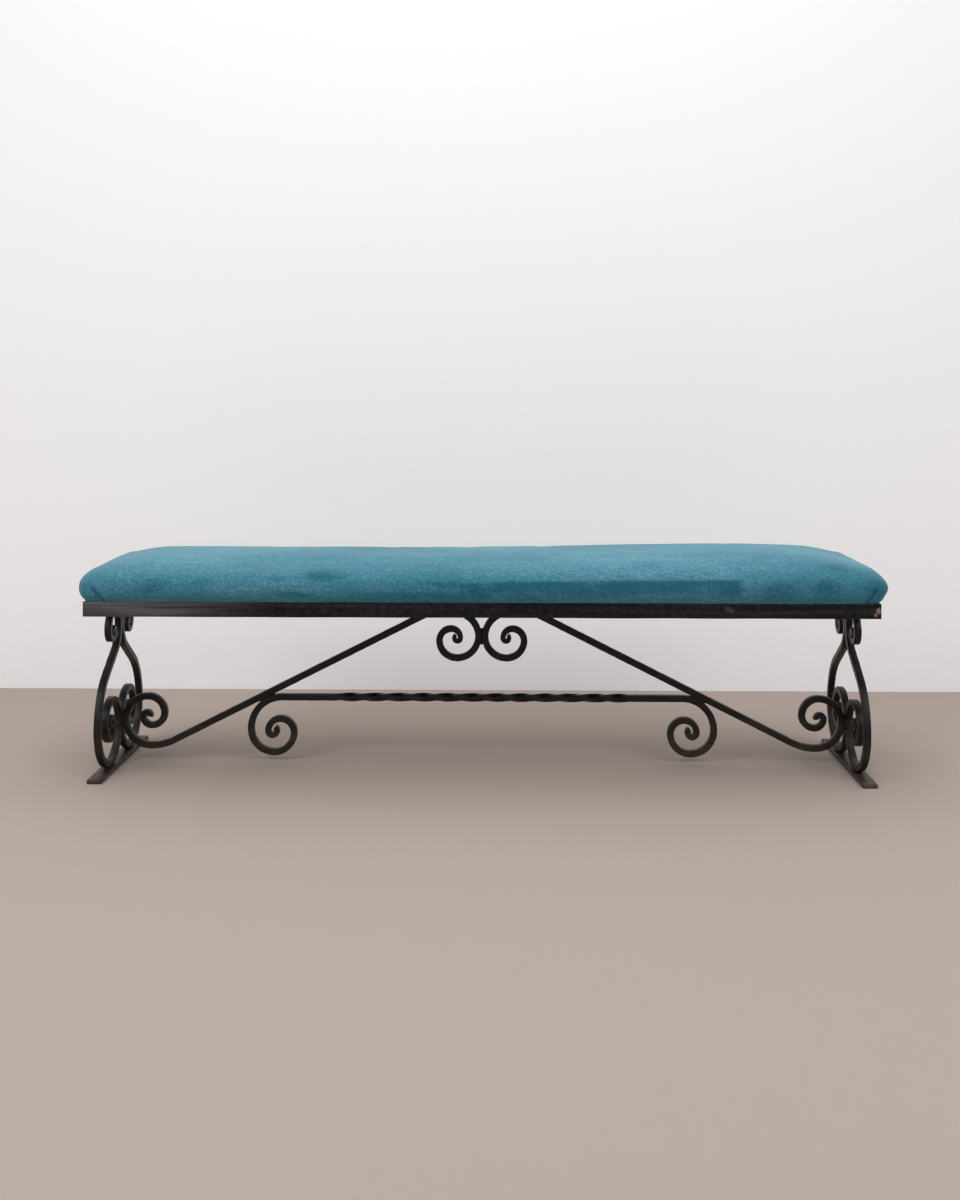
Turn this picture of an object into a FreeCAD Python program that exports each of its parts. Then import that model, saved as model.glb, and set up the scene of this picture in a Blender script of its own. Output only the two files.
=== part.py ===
# Upholstered bench: a seat frame of angle iron on scrolled legs, and a padded seat that drops into it.
# Millimetres. X runs along the bench, Y from front to back, Z up. The origin is on the floor, at the middle.
import FreeCAD
import Part
import math
import os

# Seat frame of angle iron, the upright leg outside and the flat leg below
frame_length = 1590.0
frame_depth = 400.0
rim_height = 369.0
angle_leg = 30.0
angle_wall = 4.0
angle_root_radius = 1.5
cross_bar_width = 30.0

# Square bar that all scrolls are forged from. Each curl has its turns, as shares of its radius, and its eye: the
# eye's radius as a share of the bar, the tip's thickness of the bar's, and its turn of what is free to turn.
bar = 14.0
bar_edge_break = 1.5
touch_gap = 0.15
taper_length = 67.0
eye_gap = 1.0
eye_arcs = 3

# Flat bars under the legs
foot_length = 374.0
foot_width = 30.0
foot_thickness = 8.0
foot_nose = 3.0

# Legs: each half is one bar, with a small curl at the top and a large one at the bottom
leg_inset = 18.0
leg_width = 334.0
belly_radius = 82.0
top_curl_radius = 35.0
neck_radius_share = 0.33
shoulder_radius_share = 0.615
top_curl_shares = (1.0, 1.17, 0.57, 0.44)
top_eye_shares = (0.50, 0.66, 0.95)
low_curl_shares = (1.0, 0.80, 0.65, 0.45, 0.325, 0.292)
low_eye_shares = (0.62, 0.66, 0.95)

# Braces: a curl beside the foot, a straight, a bend under the frame and a curl in the middle
brace_floor_gap = 26.0
brace_foot_radius = 56.0
brace_lead_radius = 110.0
brace_bend_radius = 42.0
brace_bend_place = 76.0
brace_rise_radius = 50.0
centre_curl_drop = 71.0
centre_curl_radius = 46.0
centre_curl_shares = (1.0, 0.805, 0.545, 0.43)
centre_eye_shares = (0.475, 0.62, 0.98)
brace_foot_shares = (1.0, 0.872, 0.627, 0.477, 0.347)
brace_foot_eye_shares = (0.57, 0.82, 0.79)

# Stretcher: twisted in the middle, with a curl at each end that touches the brace above it
stretcher_end_gap = 295.0
stretcher_length = frame_length - 2 * stretcher_end_gap
stretcher_floor_gap = 13.0
twist_end_gap = 188.0
twist_length = stretcher_length - 2 * twist_end_gap
twist_quarter_turns = 12
twist_steps_per_quarter = 3
stretcher_curl_shares = (1.0, 0.743, 0.624, 0.433, 0.388)
stretcher_eye_shares = (0.666, 0.85, 0.93)

# Weld beads
weld_leg = 4.0
weld_length = 24.0
groove_weld_radius = 3.5
groove_weld_reach = 14.0
seam_weld_radius = 2.5

# Seat pad: a board, foam, wadding and a velvet cover that is pulled round the board
pad_clearance = 2.0
seat_gap = 0.2
dust_cover_thickness = 0.8
dust_cover_inset = 10.0
cover_thickness = 1.5
hem_width = 34.0
board_thickness = 15.0
board_fit = 0.2
wadding_thickness = 6.0
layer_gap = 0.8
pad_spring = 1.5
pad_height = 89.0
pad_overhang = 15.0
bulge_height = 31.0
crown_run = 185.0
board_corner_radius = 10.0
side_corner_radius = 34.0
crown_corner_radius = 60.0
crown_corner_share = 0.9
crown_fullness_share = 0.83
side_steps = 4
crown_steps = 9

# Staples: a wire crown with two points, in two rows round the board
staple_crown = 10.0
staple_wire = 0.7
staple_leg = 8.0
staple_pitch = 78.0
cover_staple_inset = 26.0
dust_staple_inset = 15.0

overrun = 5.0

# Places worked out from the sizes above
half_length = frame_length / 2
half_depth = frame_depth / 2
half_bar = bar / 2
frame_underside = rim_height - angle_leg
tray_floor = frame_underside + angle_wall
leg_x = half_length - leg_inset
leg_inner_face = leg_x - half_bar
bar_middle = half_bar + touch_gap / 2
neck_height = frame_underside - touch_gap - half_bar - top_curl_radius
belly_height = foot_thickness + touch_gap + half_bar + belly_radius
leg_reach = leg_width / 2 - half_bar
leg_stand = leg_reach - belly_radius
low_curl_radius = leg_stand - bar_middle
meeting_height = foot_thickness + touch_gap + half_bar + low_curl_radius
top_contact = bar_middle + top_curl_radius
brace_meeting_height = frame_underside - centre_curl_drop
brace_touch_height = brace_floor_gap + half_bar + brace_foot_radius
stretcher_reach = stretcher_length / 2 - half_bar
pad_half_length = half_length - angle_wall - pad_clearance
pad_half_depth = half_depth - angle_wall - pad_clearance
dust_cover_level = tray_floor + seat_gap
hem_level = dust_cover_level + dust_cover_thickness
board_level = hem_level + cover_thickness
board_top = board_level + board_thickness
spring_level = rim_height + pad_spring


def vector(x, y, z):
    return FreeCAD.Vector(x, y, z)


def on_leg_plane(u, v, w):
    # u runs out from the middle of the leg, v up and w along the bench
    return vector(leg_x + w, u, v)


def on_brace_plane(u, v, w):
    # u runs out from the middle of the bench, v up and w from front to back
    return vector(u, w, v)


class Path:
    # A flat line of straights and arcs, each tangent to the one before it. Headings are in degrees.
    def __init__(self, u, v, heading):
        self.u = u
        self.v = v
        self.heading = heading
        self.segments = []

    def station(self):
        angle = math.radians(self.heading)
        return (self.u, self.v), (-math.sin(angle), math.cos(angle))

    def move(self, length):
        angle = math.radians(self.heading)
        self.u += length * math.cos(angle)
        self.v += length * math.sin(angle)

    def line(self, length):
        stations = [self.station()]
        for half in range(2):
            self.move(length / 2)
            stations.append(self.station())
        self.segments.append(("line", stations, length))

    def arc(self, radius, turn):
        stations = [self.station()]
        for half in range(2):
            self.heading += turn / 4
            self.move(2 * radius * math.sin(math.radians(abs(turn)) / 4))
            self.heading += turn / 4
            stations.append(self.station())
        self.segments.append(("arc", stations, radius * math.radians(abs(turn))))

    def curl(self, radius, shares, eye_shares, side):
        # A quarter turn for each share that leaves room for the eye, to the left (1) or the right (-1), and then the
        # eye. The eye is free to turn until its tip, seen from the middle of the turn before it, comes out to that
        # turn's inner face.
        size_share, tip_share, turn_share = eye_shares
        eye = bar * size_share
        tip = eye + half_bar * tip_share
        tightest = (eye + tip + half_bar + eye_gap) / 2
        radii = [radius * share for share in shares if radius * share > tightest]
        for turn_radius in radii:
            self.arc(turn_radius, 90 * side)
        outer = radii[-1]
        off_middle = outer - eye
        room = outer - half_bar - eye_gap
        meeting = math.acos((room ** 2 - off_middle ** 2 - tip ** 2) / (2 * off_middle * tip))
        turn = (360 - math.degrees(meeting)) * turn_share * side
        for step in range(eye_arcs):
            self.arc(eye, turn / eye_arcs)


def turned_back(segments):
    # The same line walked from its other end
    result = []
    for kind, stations, length in reversed(segments):
        back = [(point, (-normal[0], -normal[1])) for point, normal in reversed(stations)]
        result.append((kind, back, length))
    return result


def tangent(centre_a, radius_a, turn_a, centre_b, radius_b, turn_b):
    # The straight that leaves one circle and meets another: turns are 1 to the left and -1 to the right
    across = centre_b[0] - centre_a[0]
    up = centre_b[1] - centre_a[1]
    step = turn_b * radius_b - turn_a * radius_a
    length = math.sqrt(across ** 2 + up ** 2 - step ** 2)
    heading = math.degrees(math.atan2(up, across) - math.atan2(step, length))
    return heading, length


def half_thicknesses(segments, start_share, end_share):
    # Half the bar's thickness at the three stations of each segment, drawn down to a share of it at each tip
    total = sum(length for kind, stations, length in segments)
    walked = 0
    result = []
    for kind, stations, length in segments:
        row = []
        for half in range(3):
            here = walked + length * half / 2
            from_start = start_share + (1 - start_share) * here / taper_length
            from_end = end_share + (1 - end_share) * (total - here) / taper_length
            row.append(half_bar * min(1, from_start, from_end))
        result.append(row)
        walked += length
    return result


def side_points(segment, halves, side, inset, place, w):
    points = []
    for (point, normal), half in zip(segment[1], halves):
        reach = side * (half - inset)
        points.append(place(point[0] + reach * normal[0], point[1] + reach * normal[1], w))
    return points


def side_edge(kind, points):
    if kind == "line":
        return Part.LineSegment(points[0], points[2]).toShape()
    return Part.Arc(points[0], points[1], points[2]).toShape()


def bar_outline(segments, halves, inset, place, w):
    left = [(s[0], side_points(s, h, 1, inset, place, w)) for s, h in zip(segments, halves)]
    right = [(s[0], side_points(s, h, -1, inset, place, w)) for s, h in zip(segments, halves)]
    edges = [side_edge(kind, points) for kind, points in left]
    edges.append(Part.LineSegment(left[-1][1][2], right[-1][1][2]).toShape())
    for kind, points in reversed(right):
        edges.append(side_edge(kind, points[::-1]))
    edges.append(Part.LineSegment(right[0][1][0], left[0][1][0]).toShape())
    return Part.Wire(edges)


def forged_bar(segments, place, start_share, end_share):
    # A square bar along a flat line, with its four long edges broken and its tips drawn down
    halves = half_thicknesses(segments, start_share, end_share)
    inner = half_bar - bar_edge_break
    levels = ((-half_bar, bar_edge_break), (-inner, 0), (inner, 0), (half_bar, bar_edge_break))
    wires = [bar_outline(segments, halves, inset, place, w) for w, inset in levels]
    return Part.makeLoft(wires, True, True)


def across_middle(shape):
    return shape.mirror(vector(0, 0, 0), vector(1, 0, 0))


def front_to_back(shape):
    return shape.mirror(vector(0, 0, 0), vector(0, 1, 0))


def prism(points, along):
    return Part.Face(Part.makePolygon(points + points[:1])).extrude(along)


def angle_profile():
    # Distance in from the outer face and height, round the section of the angle iron
    root = angle_wall + angle_root_radius
    root_top = tray_floor + angle_root_radius
    bow = angle_root_radius * (1 - math.sqrt(0.5))
    points = [
        (0, frame_underside), (angle_leg, frame_underside), (angle_leg, tray_floor), (root, tray_floor),
        (angle_wall + bow, tray_floor + bow), (angle_wall, root_top), (angle_wall, rim_height), (0, rim_height),
    ]
    return points


def rail(half_run, half_span):
    # One side of the seat frame on the -Y side, with both ends cut to a mitre
    start = [vector(-half_run, inward - half_span, height) for inward, height in angle_profile()]
    edges = [Part.LineSegment(a, b).toShape() for a, b in zip(start[:3], start[1:4])]
    edges.append(Part.Arc(start[3], start[4], start[5]).toShape())
    edges += [Part.LineSegment(a, b).toShape() for a, b in zip(start[5:], start[6:] + start[:1])]
    body = Part.Face(Part.Wire(edges)).extrude(vector(2 * half_run, 0, 0))
    reach = angle_leg + overrun
    for end in (-1, 1):
        corner = vector(end * half_run, -half_span, frame_underside - overrun)
        outside = vector(end * (half_run + overrun), -half_span, frame_underside - overrun)
        far = vector(end * (half_run + overrun), reach - half_span, frame_underside - overrun)
        inside = vector(end * (half_run - reach), reach - half_span, frame_underside - overrun)
        body = body.cut(prism([corner, outside, far, inside], vector(0, 0, angle_leg + 2 * overrun)))
    return body


def cross_bar():
    run = 2 * (half_depth - angle_leg)
    corner = vector(brace_bend_place - cross_bar_width / 2, -run / 2, frame_underside)
    return Part.makeBox(cross_bar_width, run, angle_wall, corner)


def foot_bar():
    # A flat bar with its upper ends hammered down
    half = foot_length / 2
    profile = [
        (-half, 0), (half, 0), (half, foot_thickness - foot_nose), (half - foot_nose, foot_thickness),
        (foot_nose - half, foot_thickness), (-half, foot_thickness - foot_nose),
    ]
    points = [vector(leg_x - foot_width / 2, y, z) for y, z in profile]
    return prism(points, vector(foot_width, 0, 0))


def leg_path():
    upper = Path(bar_middle, neck_height, 90)
    upper.curl(top_curl_radius, top_curl_shares, top_eye_shares, -1)
    drop = neck_height - belly_height
    neck = drop * neck_radius_share
    shoulder = drop * shoulder_radius_share
    neck_centre = (bar_middle + neck, neck_height)
    shoulder_centre = (leg_reach - shoulder, belly_height)
    heading, length = tangent(neck_centre, neck, 1, shoulder_centre, shoulder, -1)
    lower = Path(bar_middle, neck_height, -90)
    lower.arc(neck, heading + 90)
    lower.line(length)
    lower.arc(shoulder, -heading - 90)
    lower.arc(belly_radius, -90)
    lower.curl(low_curl_radius, low_curl_shares, low_eye_shares, -1)
    return turned_back(upper.segments) + lower.segments


def brace_circles():
    # Centres of the rise from the middle curl, the bend under the frame and the lead into the foot curl
    rise = (bar_middle + brace_rise_radius, brace_meeting_height)
    bend = (brace_bend_place, frame_underside - touch_gap - half_bar - brace_bend_radius)
    lead_u = leg_inner_face - touch_gap - half_bar - brace_foot_radius
    lead = (lead_u, brace_floor_gap + half_bar + brace_lead_radius)
    return rise, bend, lead


def brace_diagonal():
    rise, bend, lead = brace_circles()
    return tangent(bend, brace_bend_radius, -1, lead, brace_lead_radius, 1)


def brace_path():
    rise, bend, lead = brace_circles()
    climb, climb_length = tangent(rise, brace_rise_radius, -1, bend, brace_bend_radius, -1)
    fall, fall_length = brace_diagonal()
    middle = Path(bar_middle, brace_meeting_height, -90)
    middle.curl(centre_curl_radius, centre_curl_shares, centre_eye_shares, 1)
    outer = Path(bar_middle, brace_meeting_height, 90)
    outer.arc(brace_rise_radius, climb - 90)
    outer.line(climb_length)
    outer.arc(brace_bend_radius, fall - climb)
    outer.line(fall_length)
    outer.arc(brace_lead_radius, -fall)
    outer.curl(brace_foot_radius, brace_foot_shares, brace_foot_eye_shares, 1)
    return turned_back(middle.segments) + outer.segments


def diagonal_height(u):
    # Height of the middle of the brace's straight at a distance from the middle of the bench
    rise, bend, lead = brace_circles()
    fall = math.radians(brace_diagonal()[0])
    start_u = bend[0] - brace_bend_radius * math.sin(fall)
    start_v = bend[1] + brace_bend_radius * math.cos(fall)
    return start_v + (u - start_u) * math.tan(fall)


def stretcher_curl():
    # The first radius of the end curl, which clears the floor below and touches the brace above, and its height
    fall = math.radians(-brace_diagonal()[0])
    room = diagonal_height(stretcher_reach) - (bar + touch_gap) / math.cos(fall)
    room -= stretcher_floor_gap + half_bar
    second_share = stretcher_curl_shares[1]
    radius = room / (second_share - math.tan(fall) + 1 / math.cos(fall))
    centre = stretcher_floor_gap + half_bar + radius * second_share
    return radius, centre


def twist():
    # The square bar turned about its own length, so that its edges climb to the right as seen from the front
    radius, centre = stretcher_curl()
    height = centre + radius
    inner = half_bar - bar_edge_break
    corners = (
        (half_bar, inner), (inner, half_bar), (-inner, half_bar), (-half_bar, inner),
        (-half_bar, -inner), (-inner, -half_bar), (inner, -half_bar), (half_bar, -inner),
    )
    steps = twist_quarter_turns * twist_steps_per_quarter
    wires = []
    for step in range(steps + 1):
        angle = -math.radians(90 * step / twist_steps_per_quarter)
        x = twist_length * (step / steps - 0.5)
        ring = []
        for y, z in corners:
            turned_y = y * math.cos(angle) - z * math.sin(angle)
            turned_z = y * math.sin(angle) + z * math.cos(angle)
            ring.append(vector(x, turned_y, height + turned_z))
        wires.append(Part.makePolygon(ring + ring[:1]))
    return Part.makeLoft(wires, True, True)


def stretcher():
    radius, centre = stretcher_curl()
    path = Path(twist_length / 2, centre + radius, 0)
    path.line(stretcher_reach - radius - twist_length / 2)
    path.curl(radius, stretcher_curl_shares, stretcher_eye_shares, -1)
    end = forged_bar(path.segments, on_brace_plane, 1, stretcher_eye_shares[1])
    return twist().fuse([end, across_middle(end)]).removeSplitter()


def fillet_bead(corner, along, side_a, side_b):
    # A three-sided bead in the corner between two flat faces, its length centred on the corner point
    start = corner - along * (weld_length / 2)
    return prism([start, start + side_a * weld_leg, start + side_b * weld_leg], along * weld_length)


def groove_bead(middle, along, neighbours):
    # A round bead in the groove between two bars, shaped by them
    run = bar - 2 * bar_edge_break
    bead = Part.makeCylinder(groove_weld_radius, run, middle - along * (run / 2), along)
    return bead.cut(neighbours)


def frame_corner_welds():
    beads = []
    for x_side in (-1, 1):
        for y_side in (-1, 1):
            inner = vector(x_side * (half_length - angle_wall), y_side * (half_depth - angle_wall), tray_floor)
            inner += vector(0, 0, angle_root_radius)
            points = [inner, inner - vector(x_side * weld_leg, 0, 0), inner - vector(0, y_side * weld_leg, 0)]
            beads.append(prism(points, vector(0, 0, angle_leg - angle_wall - 2 * angle_root_radius)))
    return Part.makeCompound(beads)


def cross_bar_welds():
    beads = []
    for x_side in (-1, 1):
        for y_side in (-1, 1):
            x = x_side * brace_bend_place - cross_bar_width / 2
            y = y_side * (half_depth - angle_leg)
            front = vector(x, y - seam_weld_radius, frame_underside)
            back = vector(x, y + seam_weld_radius, frame_underside)
            low = vector(x, y, frame_underside - seam_weld_radius / 2)
            seam = Part.Wire([Part.Arc(front, low, back).toShape(), Part.LineSegment(back, front).toShape()])
            beads.append(Part.Face(seam).extrude(vector(cross_bar_width, 0, 0)))
    return Part.makeCompound(beads)


def leg_edge_welds(u, height, up):
    # Beads along both flat sides of each leg bar, where it stands on the foot or meets the frame
    beads = []
    for x_side in (-1, 1):
        for y_side in (-1, 1):
            for face in (-1, 1):
                corner = vector(x_side * leg_x + face * half_bar, y_side * u, height)
                beads.append(fillet_bead(corner, vector(0, 1, 0), vector(face, 0, 0), vector(0, 0, up)))
    return Part.makeCompound(beads)


def leg_pair_welds(height, bars):
    # Beads in the grooves above and below the place where the two bars of a leg touch
    beads = []
    for rise in (-groove_weld_reach, groove_weld_reach):
        bead = groove_bead(vector(leg_x, 0, height + rise), vector(1, 0, 0), bars)
        beads += [bead, across_middle(bead)]
    return Part.makeCompound(beads)


def brace_leg_welds():
    beads = []
    for x_side in (-1, 1):
        for face in (-1, 1):
            corner = vector(x_side * leg_inner_face, face * half_bar, brace_touch_height)
            beads.append(fillet_bead(corner, vector(0, 0, 1), vector(-x_side, 0, 0), vector(0, face, 0)))
    return Part.makeCompound(beads)


def brace_top_welds():
    beads = []
    for x_side in (-1, 1):
        for face in (-1, 1):
            corner = vector(x_side * brace_bend_place, face * half_bar, frame_underside)
            beads.append(fillet_bead(corner, vector(1, 0, 0), vector(0, face, 0), vector(0, 0, -1)))
    return Part.makeCompound(beads)


def brace_pair_welds(braces):
    beads = []
    for rise in (-groove_weld_reach, groove_weld_reach):
        beads.append(groove_bead(vector(0, 0, brace_meeting_height + rise), vector(0, 1, 0), braces))
    return Part.makeCompound(beads)


def stretcher_welds(neighbours):
    # Beads on both sides of the place where the end curl touches the underside of the brace
    radius, centre = stretcher_curl()
    fall = math.radians(brace_diagonal()[0])
    beads = []
    for run in (-groove_weld_reach, groove_weld_reach):
        out = radius + half_bar + run ** 2 / (4 * (radius + half_bar))
        u = stretcher_reach - radius - out * math.sin(fall) + run * math.cos(fall)
        v = centre + out * math.cos(fall) + run * math.sin(fall)
        bead = groove_bead(vector(u, 0, v), vector(0, 1, 0), neighbours)
        beads += [bead, across_middle(bead)]
    return Part.makeCompound(beads)


def pad_outline(grow, corner, z):
    # A rectangle with round corners, larger than the board's place in the tray by grow on every side
    x = pad_half_length + grow
    y = pad_half_depth + grow
    knee = corner * math.sqrt(0.5)
    edges = []
    for sx, sy in ((1, 1), (-1, 1), (-1, -1), (1, -1)):
        centre = vector(sx * (x - corner), sy * (y - corner), z)
        on_x = centre + vector(sx * corner, 0, 0)
        on_y = centre + vector(0, sy * corner, 0)
        first, last = (on_x, on_y) if sx == sy else (on_y, on_x)
        if edges:
            edges.append(Part.LineSegment(edges[-1].Vertexes[-1].Point, first).toShape())
        edges.append(Part.Arc(first, centre + vector(sx * knee, sy * knee, 0), last).toShape())
    edges.append(Part.LineSegment(edges[-1].Vertexes[-1].Point, edges[0].Vertexes[0].Point).toShape())
    return Part.Wire(edges)


def pad_profile():
    # How far the cover stands out from the tray, the height and the corner's radius, from the rim to the crown.
    # The side is a quarter of an ellipse out to the bulge, and the crown a fuller quarter in to the middle.
    out = angle_wall + pad_clearance + pad_overhang
    bulge_level = rim_height + bulge_height
    rows = []
    for step in range(side_steps):
        turn = math.radians(90 * step / side_steps)
        corner = board_corner_radius + (side_corner_radius - board_corner_radius) * math.sin(turn)
        z = bulge_level - (bulge_level - spring_level) * math.cos(turn)
        rows.append((out * math.sin(turn), z, corner))
    for step in range(crown_steps + 1):
        turn = math.radians(90 * step / crown_steps)
        grow = out - (pad_overhang + crown_run) * (1 - math.cos(turn))
        z = bulge_level + (pad_height - bulge_height) * math.sin(turn) ** crown_fullness_share
        corner = side_corner_radius + (crown_corner_radius - side_corner_radius) * math.sin(turn)
        rows.append((grow, z, min(corner, (pad_half_depth + grow) * crown_corner_share)))
    return rows


def inset_profile(inset):
    # The same profile, drawn in by a distance square to itself
    rows = pad_profile()
    result = []
    for index, (grow, z, corner) in enumerate(rows):
        before = rows[max(index - 1, 0)]
        after = rows[min(index + 1, len(rows) - 1)]
        across = after[0] - before[0]
        up = after[1] - before[1]
        if index == 0:
            across = 0
        length = math.hypot(across, up)
        new_corner = max(corner - inset, board_corner_radius / 2)
        result.append((grow - inset * up / length, z + inset * across / length, new_corner))
    return result


def padded_form(inset, bottom):
    # The pad's shape, drawn in by inset: straight where it stands in the tray, then swelling and crowned
    rows = inset_profile(inset)
    foot = pad_outline(rows[0][0], rows[0][2], bottom)
    return Part.makeLoft([foot] + [pad_outline(grow, corner, z) for grow, z, corner in rows], True, True)


def flat_sheet(grow, corner, bottom, thickness):
    return Part.Face(pad_outline(grow, corner, bottom)).extrude(vector(0, 0, thickness))


def velvet_cover():
    # A pulled cover: the pad's whole outside, turned under the board as a hem
    inside = padded_form(cover_thickness, board_level)
    window = flat_sheet(-hem_width, board_corner_radius, hem_level - overrun, cover_thickness + 2 * overrun)
    return padded_form(0, hem_level).cut(inside).cut(window)


def seat_board():
    return flat_sheet(-cover_thickness - board_fit, board_corner_radius, board_level, board_thickness)


def wadding():
    outside = cover_thickness + layer_gap
    return padded_form(outside, board_top).cut(padded_form(outside + wadding_thickness, board_top - overrun))


def foam_block():
    return padded_form(cover_thickness + 2 * layer_gap + wadding_thickness, board_top)


def dust_cover():
    return flat_sheet(-dust_cover_inset, board_corner_radius, dust_cover_level, dust_cover_thickness)


def staple_row(inset, bottom):
    # Staples round the board, their crowns along its edges and flush with the cloth at the bottom
    half = staple_crown / 2
    inner = half - staple_wire
    top = bottom + staple_leg
    shape = (
        (-half, bottom), (half, bottom), (half, top), (inner, top), (inner, bottom + staple_wire),
        (-inner, bottom + staple_wire), (-inner, top), (-half, top),
    )
    staples = []
    sides = (
        (pad_half_length - inset, pad_half_depth - inset, vector(1, 0, 0), vector(0, 1, 0)),
        (pad_half_depth - inset, pad_half_length - inset, vector(0, 1, 0), vector(1, 0, 0)),
    )
    for half_run, offset, along, across in sides:
        count = round(2 * half_run / staple_pitch)
        for side in (-1, 1):
            for index in range(count):
                place = along * (2 * half_run * ((index + 0.5) / count - 0.5)) + across * (side * offset)
                points = [place + along * u + vector(0, 0, v) for u, v in shape]
                staples.append(prism(points, across * staple_wire))
    return Part.makeCompound(staples)


def build():
    nodes = {}
    nodes["front_rail"] = rail(half_length, half_depth)
    nodes["rear_rail"] = front_to_back(nodes["front_rail"])
    quarter_turn = FreeCAD.Placement(vector(0, 0, 0), FreeCAD.Rotation(vector(0, 0, 1), 90))
    nodes["right_end_rail"] = rail(half_depth, half_length).transformGeometry(quarter_turn.toMatrix())
    nodes["left_end_rail"] = across_middle(nodes["right_end_rail"])
    nodes["right_cross_bar"] = cross_bar()
    nodes["left_cross_bar"] = across_middle(nodes["right_cross_bar"])

    nodes["right_foot_bar"] = foot_bar()
    nodes["right_leg_rear_scroll"] = forged_bar(leg_path(), on_leg_plane, top_eye_shares[1], low_eye_shares[1])
    nodes["right_leg_front_scroll"] = front_to_back(nodes["right_leg_rear_scroll"])
    tip_shares = (centre_eye_shares[1], brace_foot_eye_shares[1])
    nodes["right_brace"] = forged_bar(brace_path(), on_brace_plane, *tip_shares)
    for name in ("foot_bar", "leg_rear_scroll", "leg_front_scroll", "brace"):
        nodes["left_" + name] = across_middle(nodes["right_" + name])
    nodes["twisted_stretcher"] = stretcher()

    leg_bars = [nodes["right_leg_rear_scroll"], nodes["right_leg_front_scroll"]]
    braces = [nodes["right_brace"], nodes["left_brace"]]
    nodes["frame_corner_welds"] = frame_corner_welds()
    nodes["cross_bar_welds"] = cross_bar_welds()
    nodes["leg_top_welds"] = leg_edge_welds(top_contact, frame_underside, -1)
    nodes["leg_foot_welds"] = leg_edge_welds(leg_stand, foot_thickness, 1)
    nodes["leg_neck_welds"] = leg_pair_welds(neck_height, leg_bars)
    nodes["leg_curl_welds"] = leg_pair_welds(meeting_height, leg_bars)
    nodes["brace_leg_welds"] = brace_leg_welds()
    nodes["brace_top_welds"] = brace_top_welds()
    nodes["brace_pair_welds"] = brace_pair_welds(braces)
    nodes["stretcher_welds"] = stretcher_welds([nodes["right_brace"], nodes["twisted_stretcher"]])

    nodes["seat_board"] = seat_board()
    nodes["foam_block"] = foam_block()
    nodes["wadding"] = wadding()
    nodes["velvet_cover"] = velvet_cover()
    nodes["dust_cover"] = dust_cover()
    nodes["cover_staples"] = staple_row(cover_staple_inset, hem_level)
    nodes["dust_cover_staples"] = staple_row(dust_staple_inset, dust_cover_level)
    return nodes


os.makedirs("parts", exist_ok=True)
for node, shape in build().items():
    shape.exportStep("parts/" + node + ".step")
    sound = shape.isValid() and all(solid.Volume > 0 for solid in shape.Solids)
    print(node, len(shape.Solids), "solids,", round(shape.Volume), "cubic mm,", "sound" if sound else "UNSOUND")
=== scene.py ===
import bmesh
import bpy
import math
import numpy as np
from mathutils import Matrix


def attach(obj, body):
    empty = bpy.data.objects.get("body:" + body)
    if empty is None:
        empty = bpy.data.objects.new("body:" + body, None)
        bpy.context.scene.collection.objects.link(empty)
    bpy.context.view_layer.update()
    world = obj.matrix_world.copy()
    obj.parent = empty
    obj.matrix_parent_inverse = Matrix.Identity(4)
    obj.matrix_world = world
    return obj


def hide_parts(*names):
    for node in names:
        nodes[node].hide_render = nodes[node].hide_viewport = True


# Upholstered bench: a velvet pad that drops into a frame of angle iron, on forged scrolls. Sizes in metres.
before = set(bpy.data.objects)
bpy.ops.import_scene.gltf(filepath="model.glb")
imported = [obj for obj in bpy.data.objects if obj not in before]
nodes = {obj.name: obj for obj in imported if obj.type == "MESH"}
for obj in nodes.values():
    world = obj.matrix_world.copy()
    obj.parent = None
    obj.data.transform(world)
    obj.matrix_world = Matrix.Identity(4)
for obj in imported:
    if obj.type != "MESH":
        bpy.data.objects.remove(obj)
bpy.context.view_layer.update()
scene = bpy.context.scene
scene.view_settings.view_transform = "Standard"
print("bench: frame loaded,", len(nodes), "nodes")


class Wire:
    # One output of a node: sums and products of wires and numbers add Math nodes
    def __init__(self, finish, socket):
        self.finish = finish
        self.socket = socket

    def sum(self, operation, a, b):
        return self.finish.node("ShaderNodeMath", {"operation": operation}, {0: a, 1: b})

    def __add__(self, other):
        return self.sum("ADD", self, other)

    def __radd__(self, other):
        return self.sum("ADD", other, self)

    def __sub__(self, other):
        return self.sum("SUBTRACT", self, other)

    def __rsub__(self, other):
        return self.sum("SUBTRACT", other, self)

    def __mul__(self, other):
        return self.sum("MULTIPLY", self, other)

    def __rmul__(self, other):
        return self.sum("MULTIPLY", other, self)

    def __truediv__(self, other):
        return self.sum("DIVIDE", self, other)


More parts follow.
